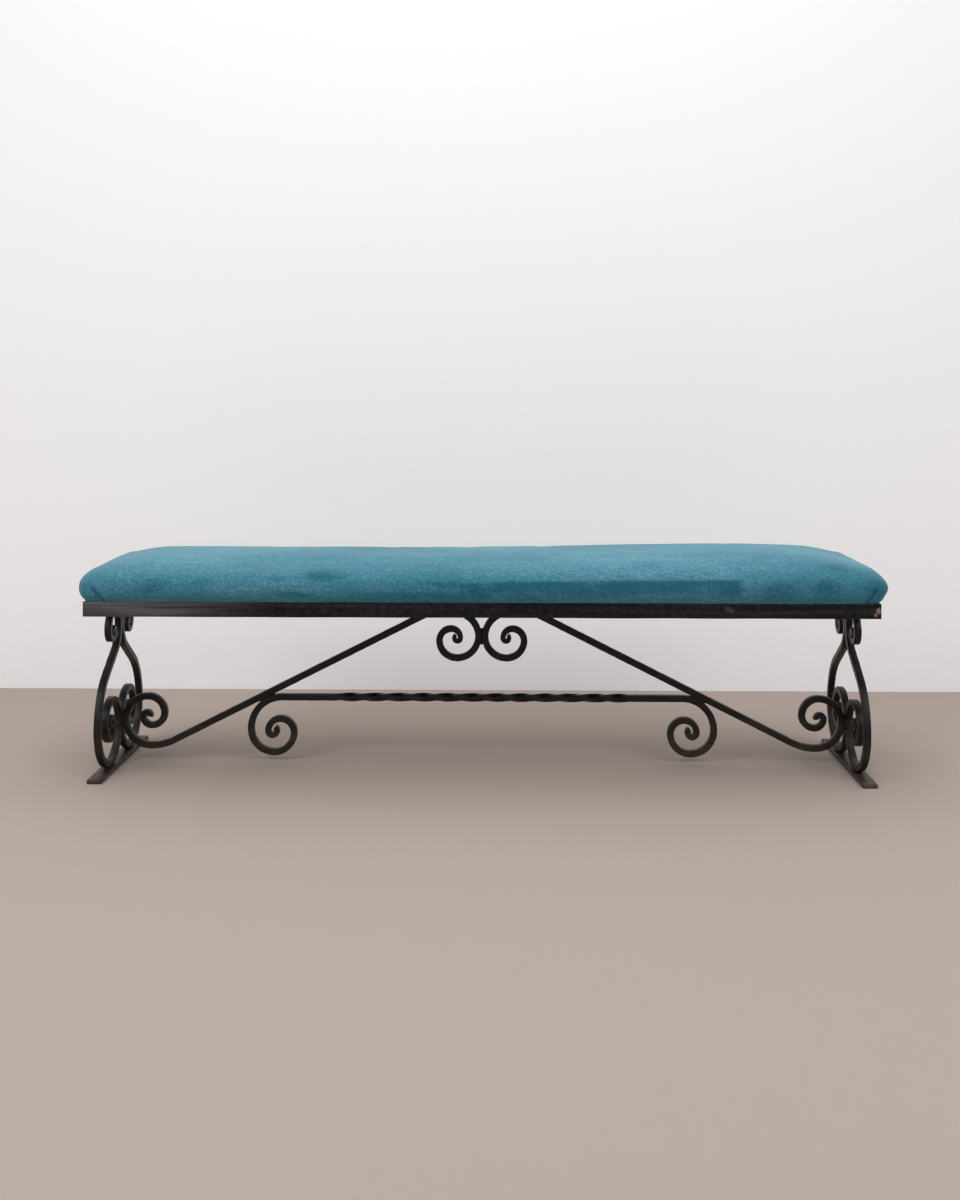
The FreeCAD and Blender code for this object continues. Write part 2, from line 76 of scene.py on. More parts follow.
class Finish:
    # A material and its nodes
    def __init__(self, name):
        self.material = bpy.data.materials.new(name)
        self.material.use_nodes = True
        self.tree = self.material.node_tree
        self.shader = self.tree.nodes["Principled BSDF"]

    def node(self, kind, settings, sockets, out=0):
        # Any node: its settings first, then the values or links of its sockets
        made = self.tree.nodes.new(kind)
        for key, value in settings.items():
            setattr(made, key, value)
        self.plug(made, sockets)
        return Wire(self, made.outputs[out])

    def plug(self, made, sockets):
        for key, value in sockets.items():
            if isinstance(value, Wire):
                self.tree.links.new(value.socket, made.inputs[key])
            else:
                made.inputs[key].default_value = value

    def place(self, stretch=(1, 1, 1)):
        where = self.node("ShaderNodeTexCoord", {}, {}, "Object")
        return self.node("ShaderNodeMapping", {}, {"Vector": where, "Scale": stretch})

    def noise(self, scale, detail=3.0, rough=0.55, stretch=(1, 1, 1)):
        sockets = {"Vector": self.place(stretch), "Scale": scale, "Detail": detail, "Roughness": rough}
        return self.node("ShaderNodeTexNoise", {}, sockets, 0)

    def ramp(self, value, low, high):
        # 0 below low and 1 above high, smooth between them
        sockets = {"Value": value, "From Min": low, "From Max": high}
        return self.node("ShaderNodeMapRange", {"interpolation_type": "SMOOTHSTEP", "clamp": True}, sockets)

    def attribute(self, name):
        return self.node("ShaderNodeAttribute", {"attribute_name": name}, {}, "Fac")

    def mix(self, share, first, second):
        pair = {0: share, 6: shade(first), 7: shade(second)}
        return self.node("ShaderNodeMix", {"data_type": "RGBA"}, pair, 2)

    def bump(self, height, strength, depth):
        return self.node("ShaderNodeBump", {}, {"Height": height, "Strength": strength, "Distance": depth})

    def surface(self, **sockets):
        named = {key.replace("_", " "): shade(value) for key, value in sockets.items()}
        self.plug(self.shader, named)
        return self.material


def shade(value):
    # A colour of three numbers gets its alpha, and anything else stays
    return (*value, 1) if isinstance(value, tuple) and len(value) == 3 else value


# On the rails, dust is the grey of a painted reflection on the left end; soil is dust on the legs and feet
ironLook = {
    "black": (0.0014, 0.0012, 0.0014), "scale": (0.0085, 0.0076, 0.0080), "worn": (0.052, 0.046, 0.042),
    "railScale": (0.019, 0.017, 0.0185), "dust": (0.138, 0.136, 0.138), "soil": (0.070, 0.050, 0.037),
    "scaleNoise": 95, "fineNoise": 620, "dentNoise": 72, "raggedNoise": 480, "bumpDepth": 0.0012,
    "shine": 0.31, "railShine": 0.21, "rubbedShow": 0.75, "rubbedMetal": 0.35, "chipShow": 0.75,
    "chips": (   # the middle of each bare spot on the front rail, its size and its colour
        ((0.7900, -0.2, 0.3550), 0.0075, (0.36, 0.23, 0.20)),
        ((0.784, -0.2, 0.3470), 0.0050, (0.28, 0.17, 0.15)),
        ((0.492, -0.2, 0.3575), 0.0085, (0.050, 0.047, 0.049)),
        ((0.500, -0.2, 0.3550), 0.0060, (0.060, 0.056, 0.057)),
    ),
}


def ironFinish(name, chipped):
    # Old black paint over forge scale, rubbed along the edges; the dust attribute gives leg dust and a
    # painted rail reflection
    f = Finish(name)
    look = ironLook
    scale = f.noise(look["scaleNoise"], 6.0, 0.62)
    fine = f.noise(look["fineNoise"], 3.0)
    dents = f.noise(look["dentNoise"], 1.0, 0.5)
    edge = f.attribute("edge")
    dust = f.attribute("dust")
    rubbed = edge * f.ramp(scale, 0.46, 0.68)
    streak = f.noise(95, 5.0, 0.65, (0.03, 1, 1)) if chipped else f.noise(40, 5.0, 0.6, (0.25, 1, 1))
    dustAndSheen = dust * (0.35 + 0.65 * f.ramp(streak, 0.36, 0.62))
    patchy = f.ramp(0.5 * scale + 0.5 * streak, 0.42, 0.62)
    colour = f.mix(patchy, look["black"], look["railScale" if chipped else "scale"])
    # Dust on the legs and feet; on the rails a painted reflection, lighter grey streaks on the left end
    colour = f.mix(dustAndSheen, colour, look["dust" if chipped else "soil"])
    colour = f.mix(look["rubbedShow"] * rubbed, colour, look["worn"])
    if chipped:
        where = f.node("ShaderNodeTexCoord", {}, {}, "Object")
        ragged = f.noise(look["raggedNoise"], 5.0, 0.75)
        for centre, size, bare in look["chips"]:
            apart = f.node("ShaderNodeVectorMath", {"operation": "DISTANCE"}, {0: where, 1: centre}, "Value")
            chip = f.ramp(ragged - 0.42 * (apart / size), 0.12, 0.30)
            colour = f.mix(look["chipShow"] * chip, colour, bare)
    rough = 0.26 + 0.30 * scale + 0.14 * dustAndSheen
    grain = f.bump(0.6 * scale + 0.2 * fine + 1.1 * dents, 0.40, look["bumpDepth"])
    return f.surface(Base_Color=colour, Roughness=rough, Metallic=look["rubbedMetal"] * rubbed, Normal=grain,
                     Specular_IOR_Level=look["railShine" if chipped else "shine"])


velvetLook = {
    "pressed": (0.0118, 0.112, 0.168), "middle": (0.050, 0.197, 0.272), "raisedAndLit": (0.124, 0.324, 0.410),
    "foldShade": (0.008, 0.036, 0.052), "sheenTint": (0.55, 0.86, 0.95), "sheen": 0.42, "ribPitch": 0.0034,
    "pileNoise": 520, "speckleNoise": 180, "cloudNoise": 24, "brushNoise": 110, "nubDepth": 0.0010,
    "pileShow": 1.20, "speckleShow": 3.40, "cloudShow": 0.8, "brushShow": 0.75, "ribShow": 0.16,
}


def velvetFinish():
    # Ribbed velvet: an attribute says where the pile is pressed (below 0) or stands up (above 0), plus a
    # painted highlight on the crown
    f = Finish("velvet")
    look = velvetLook
    napAndLight = f.attribute("napAndLight")
    fold = f.attribute("fold")
    pile = f.noise(look["pileNoise"], 3.0, 0.65)
    speckle = f.noise(look["speckleNoise"], 3.0, 0.75)
    cloud = f.noise(look["cloudNoise"], 4.0, 0.6, (0.5, 1, 1.3))
    brushed = f.noise(look["brushNoise"], 4.0, 0.65, (0.45, 1, 1))
    ribTurn = 2 * math.pi / look["ribPitch"] / 20   # a Wave node turns by 20 for each unit of its scale
    ribs = {"Vector": f.place(), "Scale": ribTurn, "Distortion": 1.4, "Detail": 1.0, "Detail Scale": 0.6}
    rib = f.node("ShaderNodeTexWave", {"wave_type": "BANDS", "bands_direction": "X"}, ribs, 1)
    lieAndLight = napAndLight + look["cloudShow"] * (cloud - 0.5) + look["brushShow"] * (brushed - 0.5)
    lieAndLight = lieAndLight + look["pileShow"] * (pile - 0.5) + look["speckleShow"] * (speckle - 0.5)
    lieAndLight = lieAndLight + look["ribShow"] * (rib - 0.5)
    colour = f.mix(f.ramp(lieAndLight, -1.15, 0.20), look["pressed"], look["middle"])
    # The lightest colour also takes the painted highlight on the crown
    colour = f.mix(f.ramp(lieAndLight, 0.05, 1.0), colour, look["raisedAndLit"])
    # Painted shade in the creases of the corner pleats
    colour = f.mix(fold, colour, look["foldShade"])
    nubs = f.bump(0.45 * pile + 0.30 * rib + 0.40 * speckle, 0.45, look["nubDepth"])
    return f.surface(Base_Color=colour, Roughness=0.86, Normal=nubs, Specular_IOR_Level=0.22,
                     Sheen_Weight=look["sheen"], Sheen_Roughness=0.38, Sheen_Tint=look["sheenTint"])


plyLook = {
    "dark": (0.42, 0.27, 0.15), "pale": (0.60, 0.43, 0.27), "glue": (0.20, 0.11, 0.06), "glueLines": 104.0,
}


def plywoodFinish():
    # Birch plywood: pale faces with long grain, and dark glue lines through its thickness
    f = Finish("plywood")
    grain = f.noise(38, 6.0, 0.62, (0.06, 1, 1))
    line = f.node("ShaderNodeTexWave", {"wave_type": "BANDS", "bands_direction": "Z"},
                  {"Vector": f.place(), "Scale": plyLook["glueLines"], "Distortion": 0.4}, 1)
    colour = f.mix(f.ramp(grain, 0.3, 0.7), plyLook["dark"], plyLook["pale"])
    colour = f.mix(0.25 * f.ramp(line, 0.6, 0.9), colour, plyLook["glue"])
    return f.surface(Base_Color=colour, Roughness=0.62 + 0.15 * grain, Normal=f.bump(grain, 0.2, 0.0006))


def softFillFinish(name, light, dark, scale):
    # Foam cells or loose fibres
    f = Finish(name)
    cells = f.noise(scale, 4.0, 0.7)
    colour = f.mix(f.ramp(cells, 0.35, 0.65), dark, light)
    return f.surface(Base_Color=colour, Roughness=0.95, Normal=f.bump(cells, 0.6, 0.0012))


dustLook = {"deep": (0.010, 0.010, 0.011), "pale": (0.032, 0.032, 0.034), "fibreNoise": 420, "dimples": 430.0}


def dustClothFinish():
    # Black spun-bonded cloth: short fibres pressed in a grid of small dimples
    f = Finish("dustCloth")
    fibre = f.noise(dustLook["fibreNoise"], 5.0, 0.7, (0.5, 1, 1))
    grid = {"Vector": f.place(), "Scale": dustLook["dimples"]}
    dimple = f.node("ShaderNodeTexVoronoi", {"feature": "F1"}, grid, 0)
    colour = f.mix(f.ramp(fibre, 0.35, 0.7), dustLook["deep"], dustLook["pale"])
    relief = f.bump(0.5 * fibre + 0.5 * dimple, 0.5, 0.0006)
    return f.surface(Base_Color=colour, Roughness=0.88, Normal=relief)


stapleLook = {"bright": (0.56, 0.56, 0.55), "dull": (0.36, 0.36, 0.36), "dullNoise": 900}


def stapleFinish():
    # Galvanised wire, a little dull
    f = Finish("stapleSteel")
    dull = f.noise(stapleLook["dullNoise"], 3.0)
    colour = f.mix(f.ramp(dull, 0.4, 0.7), stapleLook["bright"], stapleLook["dull"])
    return f.surface(Base_Color=colour, Roughness=0.30 + 0.25 * dull, Metallic=1.0)


finishes = {
    "iron": ironFinish("iron", False),
    "railIron": ironFinish("railIron", True),
    "velvet": velvetFinish(),
    "plywood": plywoodFinish(),
    "foam": softFillFinish("foam", (0.78, 0.70, 0.48), (0.60, 0.52, 0.33), 520),
    "wadding": softFillFinish("wadding", (0.86, 0.86, 0.84), (0.66, 0.66, 0.65), 240),
    "dustCloth": dustClothFinish(),
    "staple": stapleFinish(),
}
print("bench: finishes made")


def ripple(points, wave, seed, count=9):
    # Smooth seeded unevenness, about -1 to 1: a sum of sines along directions of their own
    rng = np.random.default_rng(seed)
    ways = rng.normal(size=(count, points.shape[-1]))
    ways *= (2 * math.pi / wave * rng.uniform(0.5, 1.5, count) / np.linalg.norm(ways, axis=1))[:, None]
    return np.sin(points @ ways.T + rng.uniform(0, 2 * math.pi, count)).sum(-1) / math.sqrt(count)


def markPoints(mesh, key, values):
    marks = mesh.attributes.new(key, "FLOAT", "POINT")
    marks.data.foreach_set("value", values.ravel().astype(np.float32))


def finishNode(node, finish):
    nodes[node].data.materials.clear()
    nodes[node].data.materials.append(finishes[finish])


def makePiece(name, points, faces, finish, body, attributes=None, outward=True):
    # A mesh from arrays, its faces turned outwards, riding on a body
    mesh = bpy.data.meshes.new(name)
    mesh.from_pydata(points.reshape(-1, 3).tolist(), [], faces)
    if outward:
        work = bmesh.new()
        work.from_mesh(mesh)
        bmesh.ops.recalc_face_normals(work, faces=work.faces)
        work.to_mesh(mesh)
        work.free()
    for key, values in (attributes or {}).items():
        markPoints(mesh, key, values)
    mesh.shade_smooth()
    mesh.materials.append(finishes[finish])
    piece = bpy.data.objects.new(name, mesh)
    scene.collection.objects.link(piece)
    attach(piece, body)
    return piece


def readPoints(mesh):
    points = np.empty(len(mesh.vertices) * 3, np.float32)
    mesh.vertices.foreach_get("co", points)
    return points.reshape(-1, 3).astype(float)


def ringFaces(stations, ring):
    # Four-sided faces between neighbouring rings, with the first and the last ring filled
    row = np.arange(stations - 1)[:, None] * ring
    here = np.arange(ring)[None, :]
    after = (here + 1) % ring
    quads = np.stack([row + here, row + after, row + ring + after, row + ring + here], -1).reshape(-1, 4)
    last = (stations - 1) * ring
    return quads.tolist() + [list(range(ring)), list(range(last, last + ring))]


barStock = {
    "half": 0.007, "touchGap": 0.00015, "cornerShare": 0.26, "taper": 0.067, "eyeGap": 0.001,
    "step": 0.0030, "turnStep": 0.13, "hammer": 0.00016, "hammerWave": 0.021,
    "tipSizes": (0.55, 0.84, 0.96), "tipReaches": (0.17, 0.11, 0.04),
}
halfBar = barStock["half"]
barMiddle = halfBar + barStock["touchGap"] / 2


def line(length):
    return length, 0.0


def arc(radius, turn):
    return radius * math.radians(abs(turn)), math.radians(turn)


def curl(radius, shares, eyeShares, side):
    # A quarter turn for each share, to the left (1) or the right (-1), and then the eye, which is free to
    # turn until its tip, seen from the middle of the turn before it, comes out to that turn's inner face
    sizeShare, tipShare, turnShare = eyeShares
    outer, eye = radius * shares[-1], 2 * halfBar * sizeShare
    offMiddle, tip = outer - eye, eye + halfBar * tipShare
    room = outer - halfBar - barStock["eyeGap"]
    meeting = math.acos((room ** 2 - offMiddle ** 2 - tip ** 2) / (2 * offMiddle * tip))
    turn = (360 - math.degrees(meeting)) * turnShare * side
    return [arc(radius * share, 90 * side) for share in shares] + [arc(eye, turn)]


def walk(u, v, heading, moves):
    # Straights and arcs, each tangent to the one before: rows of u, v and heading along the way
    heading = math.radians(heading)
    rows = [np.array([[u, v, heading]])]
    for length, turn in moves:
        count = max(4, round(length / barStock["step"]), round(abs(turn) / barStock["turnStep"]))
        share = np.linspace(0, 1, count + 1)[1:]
        headings = heading + turn * share
        if turn:
            us = u + length / turn * (np.sin(headings) - math.sin(heading))
            vs = v - length / turn * (np.cos(headings) - math.cos(heading))
        else:
            us = u + length * share * math.cos(heading)
            vs = v + length * share * math.sin(heading)
        rows.append(np.stack([us, vs, headings], -1))
        u, v, heading = us[-1], vs[-1], headings[-1]
    return np.concatenate(rows)


def bothWays(back, ahead):
    # The first walk from its far end, then the second: both leave the same point, in opposite directions
    return np.concatenate([back[::-1] + np.array([0, 0, math.pi]), ahead[1:]])


def tangent(centreA, radiusA, turnA, centreB, radiusB, turnB):
    # Heading and length of the straight between two circles: turns are 1 to the left and -1 to the right
    across, up = centreB[0] - centreA[0], centreB[1] - centreA[1]
    step = turnB * radiusB - turnA * radiusA
    length = math.sqrt(across ** 2 + up ** 2 - step ** 2)
    return math.degrees(math.atan2(up, across) - math.atan2(step, length)), length


def squareRing():
    # Round a square section of half width 1: four round corners, worn, and two points on each flat
    share = barStock["cornerShare"]
    turn = np.radians(np.linspace(0, 90, 5))
    corner = 1 - share + share * np.stack([np.cos(turn), np.sin(turn)], -1)
    third = (1 - share) / 3
    quarter = np.concatenate([corner, [[third, 1], [-third, 1]]])
    wear = np.concatenate([np.sin(2 * turn), [0, 0]])
    turned = np.stack([-quarter[:, 1], quarter[:, 0]], -1)
    return np.concatenate([quarter, turned, -quarter, -turned]), np.tile(wear, 4)


# lowTop, low and foot set the dust; the others set the painted reflection on the frame's left end: its start,
# run and strength
dirt = {"lowTop": 0.11, "low": 0.75, "foot": 0.85, "reflectionFrom": -0.42, "reflectionRun": 0.30, "rubbed": 0.85}


def lowDust(points):
    # Dust gathers towards the floor
    return np.clip((dirt["lowTop"] - points[..., 2]) / dirt["lowTop"], 0, 1) * dirt["low"]


def railPaintedReflection(points):
    # The left end of the frame is painted lighter grey: a painted reflection of light from the left
    return np.clip((dirt["reflectionFrom"] - points[..., 0]) / dirt["reflectionRun"], 0, 1) * dirt["rubbed"]


def forgedBar(name, node, route, tipShares, origin, alongU, alongW, seed, angle=None):
    # A square section carried along a flat route and drawn down to a share of its thickness at both tips,
    # whose ends are rounded over. A section point p, q lies p square to the route in its plane, q across it.
    ring, wear = squareRing()
    run = np.concatenate([[0], np.cumsum(np.hypot(np.diff(route[:, 0]), np.diff(route[:, 1])))])
    first, last = tipShares
    thin = np.minimum(1, first + (1 - first) * run / barStock["taper"])
    thin = np.minimum(thin, last + (1 - last) * (run[-1] - run) / barStock["taper"])
    dome = np.array(barStock["tipSizes"])
    reach = np.array(barStock["tipReaches"]) * halfBar
    tips = [route[[0]] - reach[:, None] * np.array([[math.cos(route[0, 2]), math.sin(route[0, 2]), 0]]),
            route[[-1]] + reach[::-1, None] * np.array([[math.cos(route[-1, 2]), math.sin(route[-1, 2]), 0]])]
    route = np.concatenate([tips[0], route, tips[1]])
    size = np.concatenate([dome, np.ones(len(thin)), dome[::-1]])[:, None] * halfBar
    thin = np.pad(thin, len(dome), "edge")[:, None]
    p, q = ring[None, :, 0] * size * thin, ring[None, :, 1] * size
    if angle is not None:
        turn = angle(route[:, 0])[:, None]
        p, q = p * np.cos(turn) + q * np.sin(turn), q * np.cos(turn) - p * np.sin(turn)
    alongU, alongW, up = np.array(alongU, float), np.array(alongW, float), np.array([0.0, 0.0, 1.0])
    sine, cosine = np.sin(route[:, 2])[:, None], np.cos(route[:, 2])[:, None]
    offset = (-p * sine)[..., None] * alongU + (p * cosine)[..., None] * up + q[..., None] * alongW
    spine = np.array(origin) + route[:, 0, None, None] * alongU + route[:, 1, None, None] * up
    points = spine + offset
    outward = offset / np.linalg.norm(offset, axis=-1, keepdims=True)
    points = points + outward * (barStock["hammer"] * ripple(points, barStock["hammerWave"], seed))[..., None]
    marks = {"edge": np.broadcast_to(wear, points.shape[:2]), "dust": lowDust(points)}
    piece = makePiece(name, points, ringFaces(*points.shape[:2]), "iron", "iron_frame", marks)
    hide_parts(node)
    return piece


seatFrame = {
    "halfLength": 0.795, "halfDepth": 0.200, "rim": 0.369, "leg": 0.030, "wall": 0.004, "edge": 0.0011,
    "root": 0.0016, "step": 0.006, "bow": 0.00022, "bowWave": 0.21, "sag": 0.00015, "sagWave": 0.27,
}
underside = seatFrame["rim"] - seatFrame["leg"]
legs = {
    "place": 0.777, "width": 0.334, "footThick": 0.008, "belly": 0.082, "topCurl": 0.035,
    "neckShare": 0.33, "shoulderShare": 0.615,
    "topShares": (1.0, 1.17, 0.57, 0.44), "topEye": (0.50, 0.66, 0.95),
    "lowShares": (1.0, 0.80, 0.65, 0.45, 0.325, 0.292), "lowEye": (0.62, 0.66, 0.95),
}
neckHeight = underside - barStock["touchGap"] - halfBar - legs["topCurl"]
bellyHeight = legs["footThick"] + barStock["touchGap"] + halfBar + legs["belly"]
legReach = legs["width"] / 2 - halfBar
legStand = legReach - legs["belly"]
lowCurl = legStand - barMiddle
meetHeight = legs["footThick"] + barStock["touchGap"] + halfBar + lowCurl


def legRoute():
    # From the eye of the top curl down the neck, out over the shoulder, round the belly and into the low curl
    upper = walk(barMiddle, neckHeight, 90, curl(legs["topCurl"], legs["topShares"], legs["topEye"], -1))
    drop = neckHeight - bellyHeight
    neck, shoulder = drop * legs["neckShare"], drop * legs["shoulderShare"]
    heading, length = tangent((barMiddle + neck, neckHeight), neck, 1,
                              (legReach - shoulder, bellyHeight), shoulder, -1)
    moves = [arc(neck, heading + 90), line(length), arc(shoulder, -heading - 90), arc(legs["belly"], -90)]
    moves += curl(lowCurl, legs["lowShares"], legs["lowEye"], -1)
    return bothWays(upper, walk(barMiddle, neckHeight, -90, moves))


braces = {
    "floorGap": 0.026, "footRadius": 0.056, "leadRadius": 0.110, "bendRadius": 0.042, "bendPlace": 0.076,
    "riseRadius": 0.050, "curlDrop": 0.071, "curlRadius": 0.046,
    "curlShares": (1.0, 0.805, 0.545, 0.43), "curlEye": (0.475, 0.62, 0.98),
    "footShares": (1.0, 0.872, 0.627, 0.477, 0.347), "footEye": (0.57, 0.82, 0.79),
}
pairHeight = underside - braces["curlDrop"]
legFace = legs["place"] - halfBar
bend = (braces["bendPlace"], underside - barStock["touchGap"] - halfBar - braces["bendRadius"])
lead = (legFace - barStock["touchGap"] - halfBar - braces["footRadius"],
        braces["floorGap"] + halfBar + braces["leadRadius"])
fall, fallLength = tangent(bend, braces["bendRadius"], -1, lead, braces["leadRadius"], 1)


def braceRoute():
    # From the eye of the middle curl up to the bend under the frame, down the straight and into the foot curl
    rise = (barMiddle + braces["riseRadius"], pairHeight)
    climb, climbLength = tangent(rise, braces["riseRadius"], -1, bend, braces["bendRadius"], -1)
    inward = curl(braces["curlRadius"], braces["curlShares"], braces["curlEye"], 1)
    moves = [arc(braces["riseRadius"], climb - 90), line(climbLength)]
    moves += [arc(braces["bendRadius"], fall - climb), line(fallLength), arc(braces["leadRadius"], -fall)]
    moves += curl(braces["footRadius"], braces["footShares"], braces["footEye"], 1)
    return bothWays(walk(barMiddle, pairHeight, -90, inward), walk(barMiddle, pairHeight, 90, moves))


stretcher = {
    "reach": 0.493, "floorGap": 0.013, "twist": 0.624, "quarters": 12,
    "shares": (1.0, 0.743, 0.624, 0.433, 0.388), "eye": (0.666, 0.85, 0.93),
}
slope = math.radians(-fall)
braceHeight = bend[1] + braces["bendRadius"] * math.cos(slope)
braceHeight -= (stretcher["reach"] - bend[0] - braces["bendRadius"] * math.sin(slope)) * math.tan(slope)
endRoom = braceHeight - (2 * halfBar + barStock["touchGap"]) / math.cos(slope)
endRoom = endRoom - stretcher["floorGap"] - halfBar
endCurl = endRoom / (stretcher["shares"][1] - math.tan(slope) + 1 / math.cos(slope))
endCentre = stretcher["floorGap"] + halfBar + endCurl * stretcher["shares"][1]


def stretcherRoute():
    # From the eye of the left curl along the bar to the eye of the right curl
    moves = [line(stretcher["reach"] - endCurl)] + curl(endCurl, stretcher["shares"], stretcher["eye"], -1)
    right = walk(0, endCentre + endCurl, 0, moves)
    left = right * np.array([-1, 1, -1]) + np.array([0, 0, math.pi])
    return bothWays(left, right)


def twistAngle(u):
    # A steady turn over the twisted length, so that the edges climb to the right as seen from the front
    share = np.clip(u / stretcher["twist"] + 0.5, 0, 1)
    return -share * stretcher["quarters"] * math.pi / 2


legTips = legs["topEye"][1], legs["lowEye"][1]
braceTips = braces["curlEye"][1], braces["footEye"][1]
stretcherTips = stretcher["eye"][1], stretcher["eye"][1]
for side, sign in (("left", -1), ("right", 1)):
    for face, way in (("Front", -1), ("Rear", 1)):
        node = side + "_leg_" + face.lower() + "_scroll"
        forgedBar(side + "Leg" + face + "Scroll", node, legRoute(), legTips, (sign * legs["place"], 0, 0),
                  (0, way, 0), (1, 0, 0), 11 + 3 * sign + way)
    forgedBar(side + "Brace", side + "_brace", braceRoute(), braceTips, (0, 0, 0), (sign, 0, 0), (0, 1, 0),
              31 + sign)
forgedBar("twistedStretcher", "twisted_stretcher", stretcherRoute(), stretcherTips, (0, 0, 0), (1, 0, 0),
          (0, 1, 0), 41, angle=twistAngle)
print("bench: scrolls and stretcher made")


def roundedProfile(corners, radii, count=4):
    # A closed outline with rounded corners: at each an arc between its two sides, as a blend of three points
    corners = np.array(corners, float)
    before, after = np.roll(corners, 1, 0) - corners, np.roll(corners, -1, 0) - corners
    before /= np.linalg.norm(before, axis=1, keepdims=True)
    after /= np.linalg.norm(after, axis=1, keepdims=True)
    t = np.linspace(0, 1, count)[None, :, None]
    r = np.array(radii, float)[:, None, None]
    start, end = corners[:, None] + before[:, None] * r, corners[:, None] + after[:, None] * r
    points = (1 - t) ** 2 * start + 2 * t * (1 - t) * corners[:, None] + t ** 2 * end
    wear = np.broadcast_to(np.sin(math.pi * t[..., 0]), points.shape[:2])
    return points.reshape(-1, 2), wear.ravel()


def angleRail(name, node, halfRun, halfSpan, turned, seed):
    # The section of the angle iron carried along one side of the frame, each point's run cut to the mitre.
    # The section gives the distance in from the outer face and the height.
    wall, leg, edge = seatFrame["wall"], seatFrame["leg"], seatFrame["edge"]
    corners = [(0, underside), (leg, underside), (leg, underside + wall), (wall, underside + wall),
               (wall, seatFrame["rim"]), (0, seatFrame["rim"])]
    section, wear = roundedProfile(corners, [edge, edge, edge, seatFrame["root"], edge, edge])
    share = np.linspace(-1, 1, 2 * round(halfRun / seatFrame["step"]) + 1)[:, None]
    x = share * (halfRun - section[None, :, 0])
    y = np.broadcast_to(section[None, :, 0] - halfSpan, x.shape)
    z = np.broadcast_to(section[None, :, 1], x.shape)
    points = np.stack([x, y, z], -1)
    points[..., 1] += seatFrame["bow"] * ripple(points[..., :1] * np.ones(3), seatFrame["bowWave"], seed)
    points[..., 2] += seatFrame["sag"] * ripple(points[..., :1] * np.ones(3), seatFrame["sagWave"], seed + 1)
    if turned:
        points = np.stack([turned * -points[..., 1], points[..., 0], points[..., 2]], -1)
    # On the rails the dust attribute holds the painted reflection
    marks = {"edge": np.broadcast_to(wear, x.shape), "dust": railPaintedReflection(points)}
    piece = makePiece(name, points, ringFaces(*x.shape), "railIron", "iron_frame", marks)
    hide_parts(node)
    return piece


angleRail("frontRail", "front_rail", seatFrame["halfLength"], seatFrame["halfDepth"], 0, 51)
rear = angleRail("rearRail", "rear_rail", seatFrame["halfLength"], seatFrame["halfDepth"], 0, 53)
turnedBack = readPoints(rear.data) * np.array([-1, -1, 1])
rear.data.vertices.foreach_set("co", turnedBack.astype(np.float32).ravel())
rear.data.update()
for side, sign in (("left", -1), ("right", 1)):
    angleRail(side + "EndRail", side + "_end_rail", seatFrame["halfDepth"], seatFrame["halfLength"],
              sign, 57 + sign)


footBars = {
    "half": 0.187, "halfWide": 0.015, "corners": (0.09, 0.09, 0.16, 0.16), "stations": 91,
    "nose": 0.004, "noseThin": 0.45, "noseNarrow": 0.10, "hammer": 0.0002, "hammerWave": 0.03,
}


def footBar(name, node, middle, seed):
    # A flat section carried from front to back, hammered thinner and rounder towards both ends
    half, thick = footBars["half"], legs["footThick"]
    section, wear = roundedProfile([(-1, 0), (1, 0), (1, 1), (-1, 1)], footBars["corners"])
    share = np.sin(np.linspace(-math.pi / 2, math.pi / 2, footBars["stations"]))[:, None]
    toEnd = half * (1 - np.abs(share))
    full = np.sqrt(np.clip(toEnd / footBars["nose"], 0, 1))
    thin = 1 - footBars["noseThin"] * (1 - full)
    wide = 1 - footBars["noseNarrow"] * (1 - full)
    x = middle + footBars["halfWide"] * section[None, :, 0] * wide
    y = np.broadcast_to(share * half, x.shape)
    z = thick * section[None, :, 1] * thin
    points = np.stack([x, y, z], -1)
    dents = np.where(z > thick / 2, footBars["hammer"], 0)
    points[..., 2] += dents * ripple(points, footBars["hammerWave"], seed)
    marks = {"edge": np.broadcast_to(wear, x.shape), "dust": np.full(x.shape, dirt["foot"])}
    piece = makePiece(name, points, ringFaces(*x.shape), "iron", "iron_frame", marks)
    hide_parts(node)
    return piece


footBar("leftFootBar", "left_foot_bar", -legs["place"], 61)
footBar("rightFootBar", "right_foot_bar", legs["place"], 62)
print("bench: rails and feet made")


beads = {
    "fillet": 0.0030, "fillLength": 0.024, "sunk": 0.0008, "groove": 0.0034, "across": 0.011,
    "grooveReach": 0.014, "runs": (-1, -0.62, -0.28, 0.28, 0.62, 1),
    "stations": 25, "sides": 12, "endPower": 6, "endLeast": 0.002,
    "pool": 0.0034, "poolShare": 0.10, "rough": 0.0004, "roughWave": 0.011, "edge": 0.35,
}


def weldBeads(name, node, middles, along, radius, length, seed):
    # Beads: a round section along the joint, full in the middle, rippled by the pool and closed at both ends
    middles = np.array(middles, float)
    along = np.array(along, float)
    askew = (0.577, 0.577, 0.577)   # off every run of the welds
    side = np.cross(along, askew)
    side /= np.linalg.norm(side)
    other = np.cross(along, side)
    t = np.linspace(-1, 1, beads["stations"])
    turn = np.linspace(0, 2 * math.pi, beads["sides"] + 1)[:-1]
    fat = radius * np.sqrt(np.clip(1 - np.abs(t) ** beads["endPower"], beads["endLeast"], 1))
    fat = fat * (1 + beads["poolShare"] * np.cos(t * length / beads["pool"] * math.pi))
    disc = np.cos(turn)[:, None] * side + np.sin(turn)[:, None] * other
    bead = (t * length / 2)[:, None, None] * along + fat[:, None, None] * disc
    points = middles[:, None, None, :] + bead[None]
    points = points + beads["rough"] * ripple(points, beads["roughWave"], seed)[..., None] * disc
    count = points.shape[1] * points.shape[2]
    single = ringFaces(points.shape[1], points.shape[2])
    faces = [[corner + index * count for corner in face] for index in range(len(middles)) for face in single]
    marks = {"edge": np.full(points.shape[:3], beads["edge"]), "dust": np.zeros(points.shape[:3])}
    piece = makePiece(name, points, faces, "iron", "iron_frame", marks)
    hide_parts(node)
    return piece


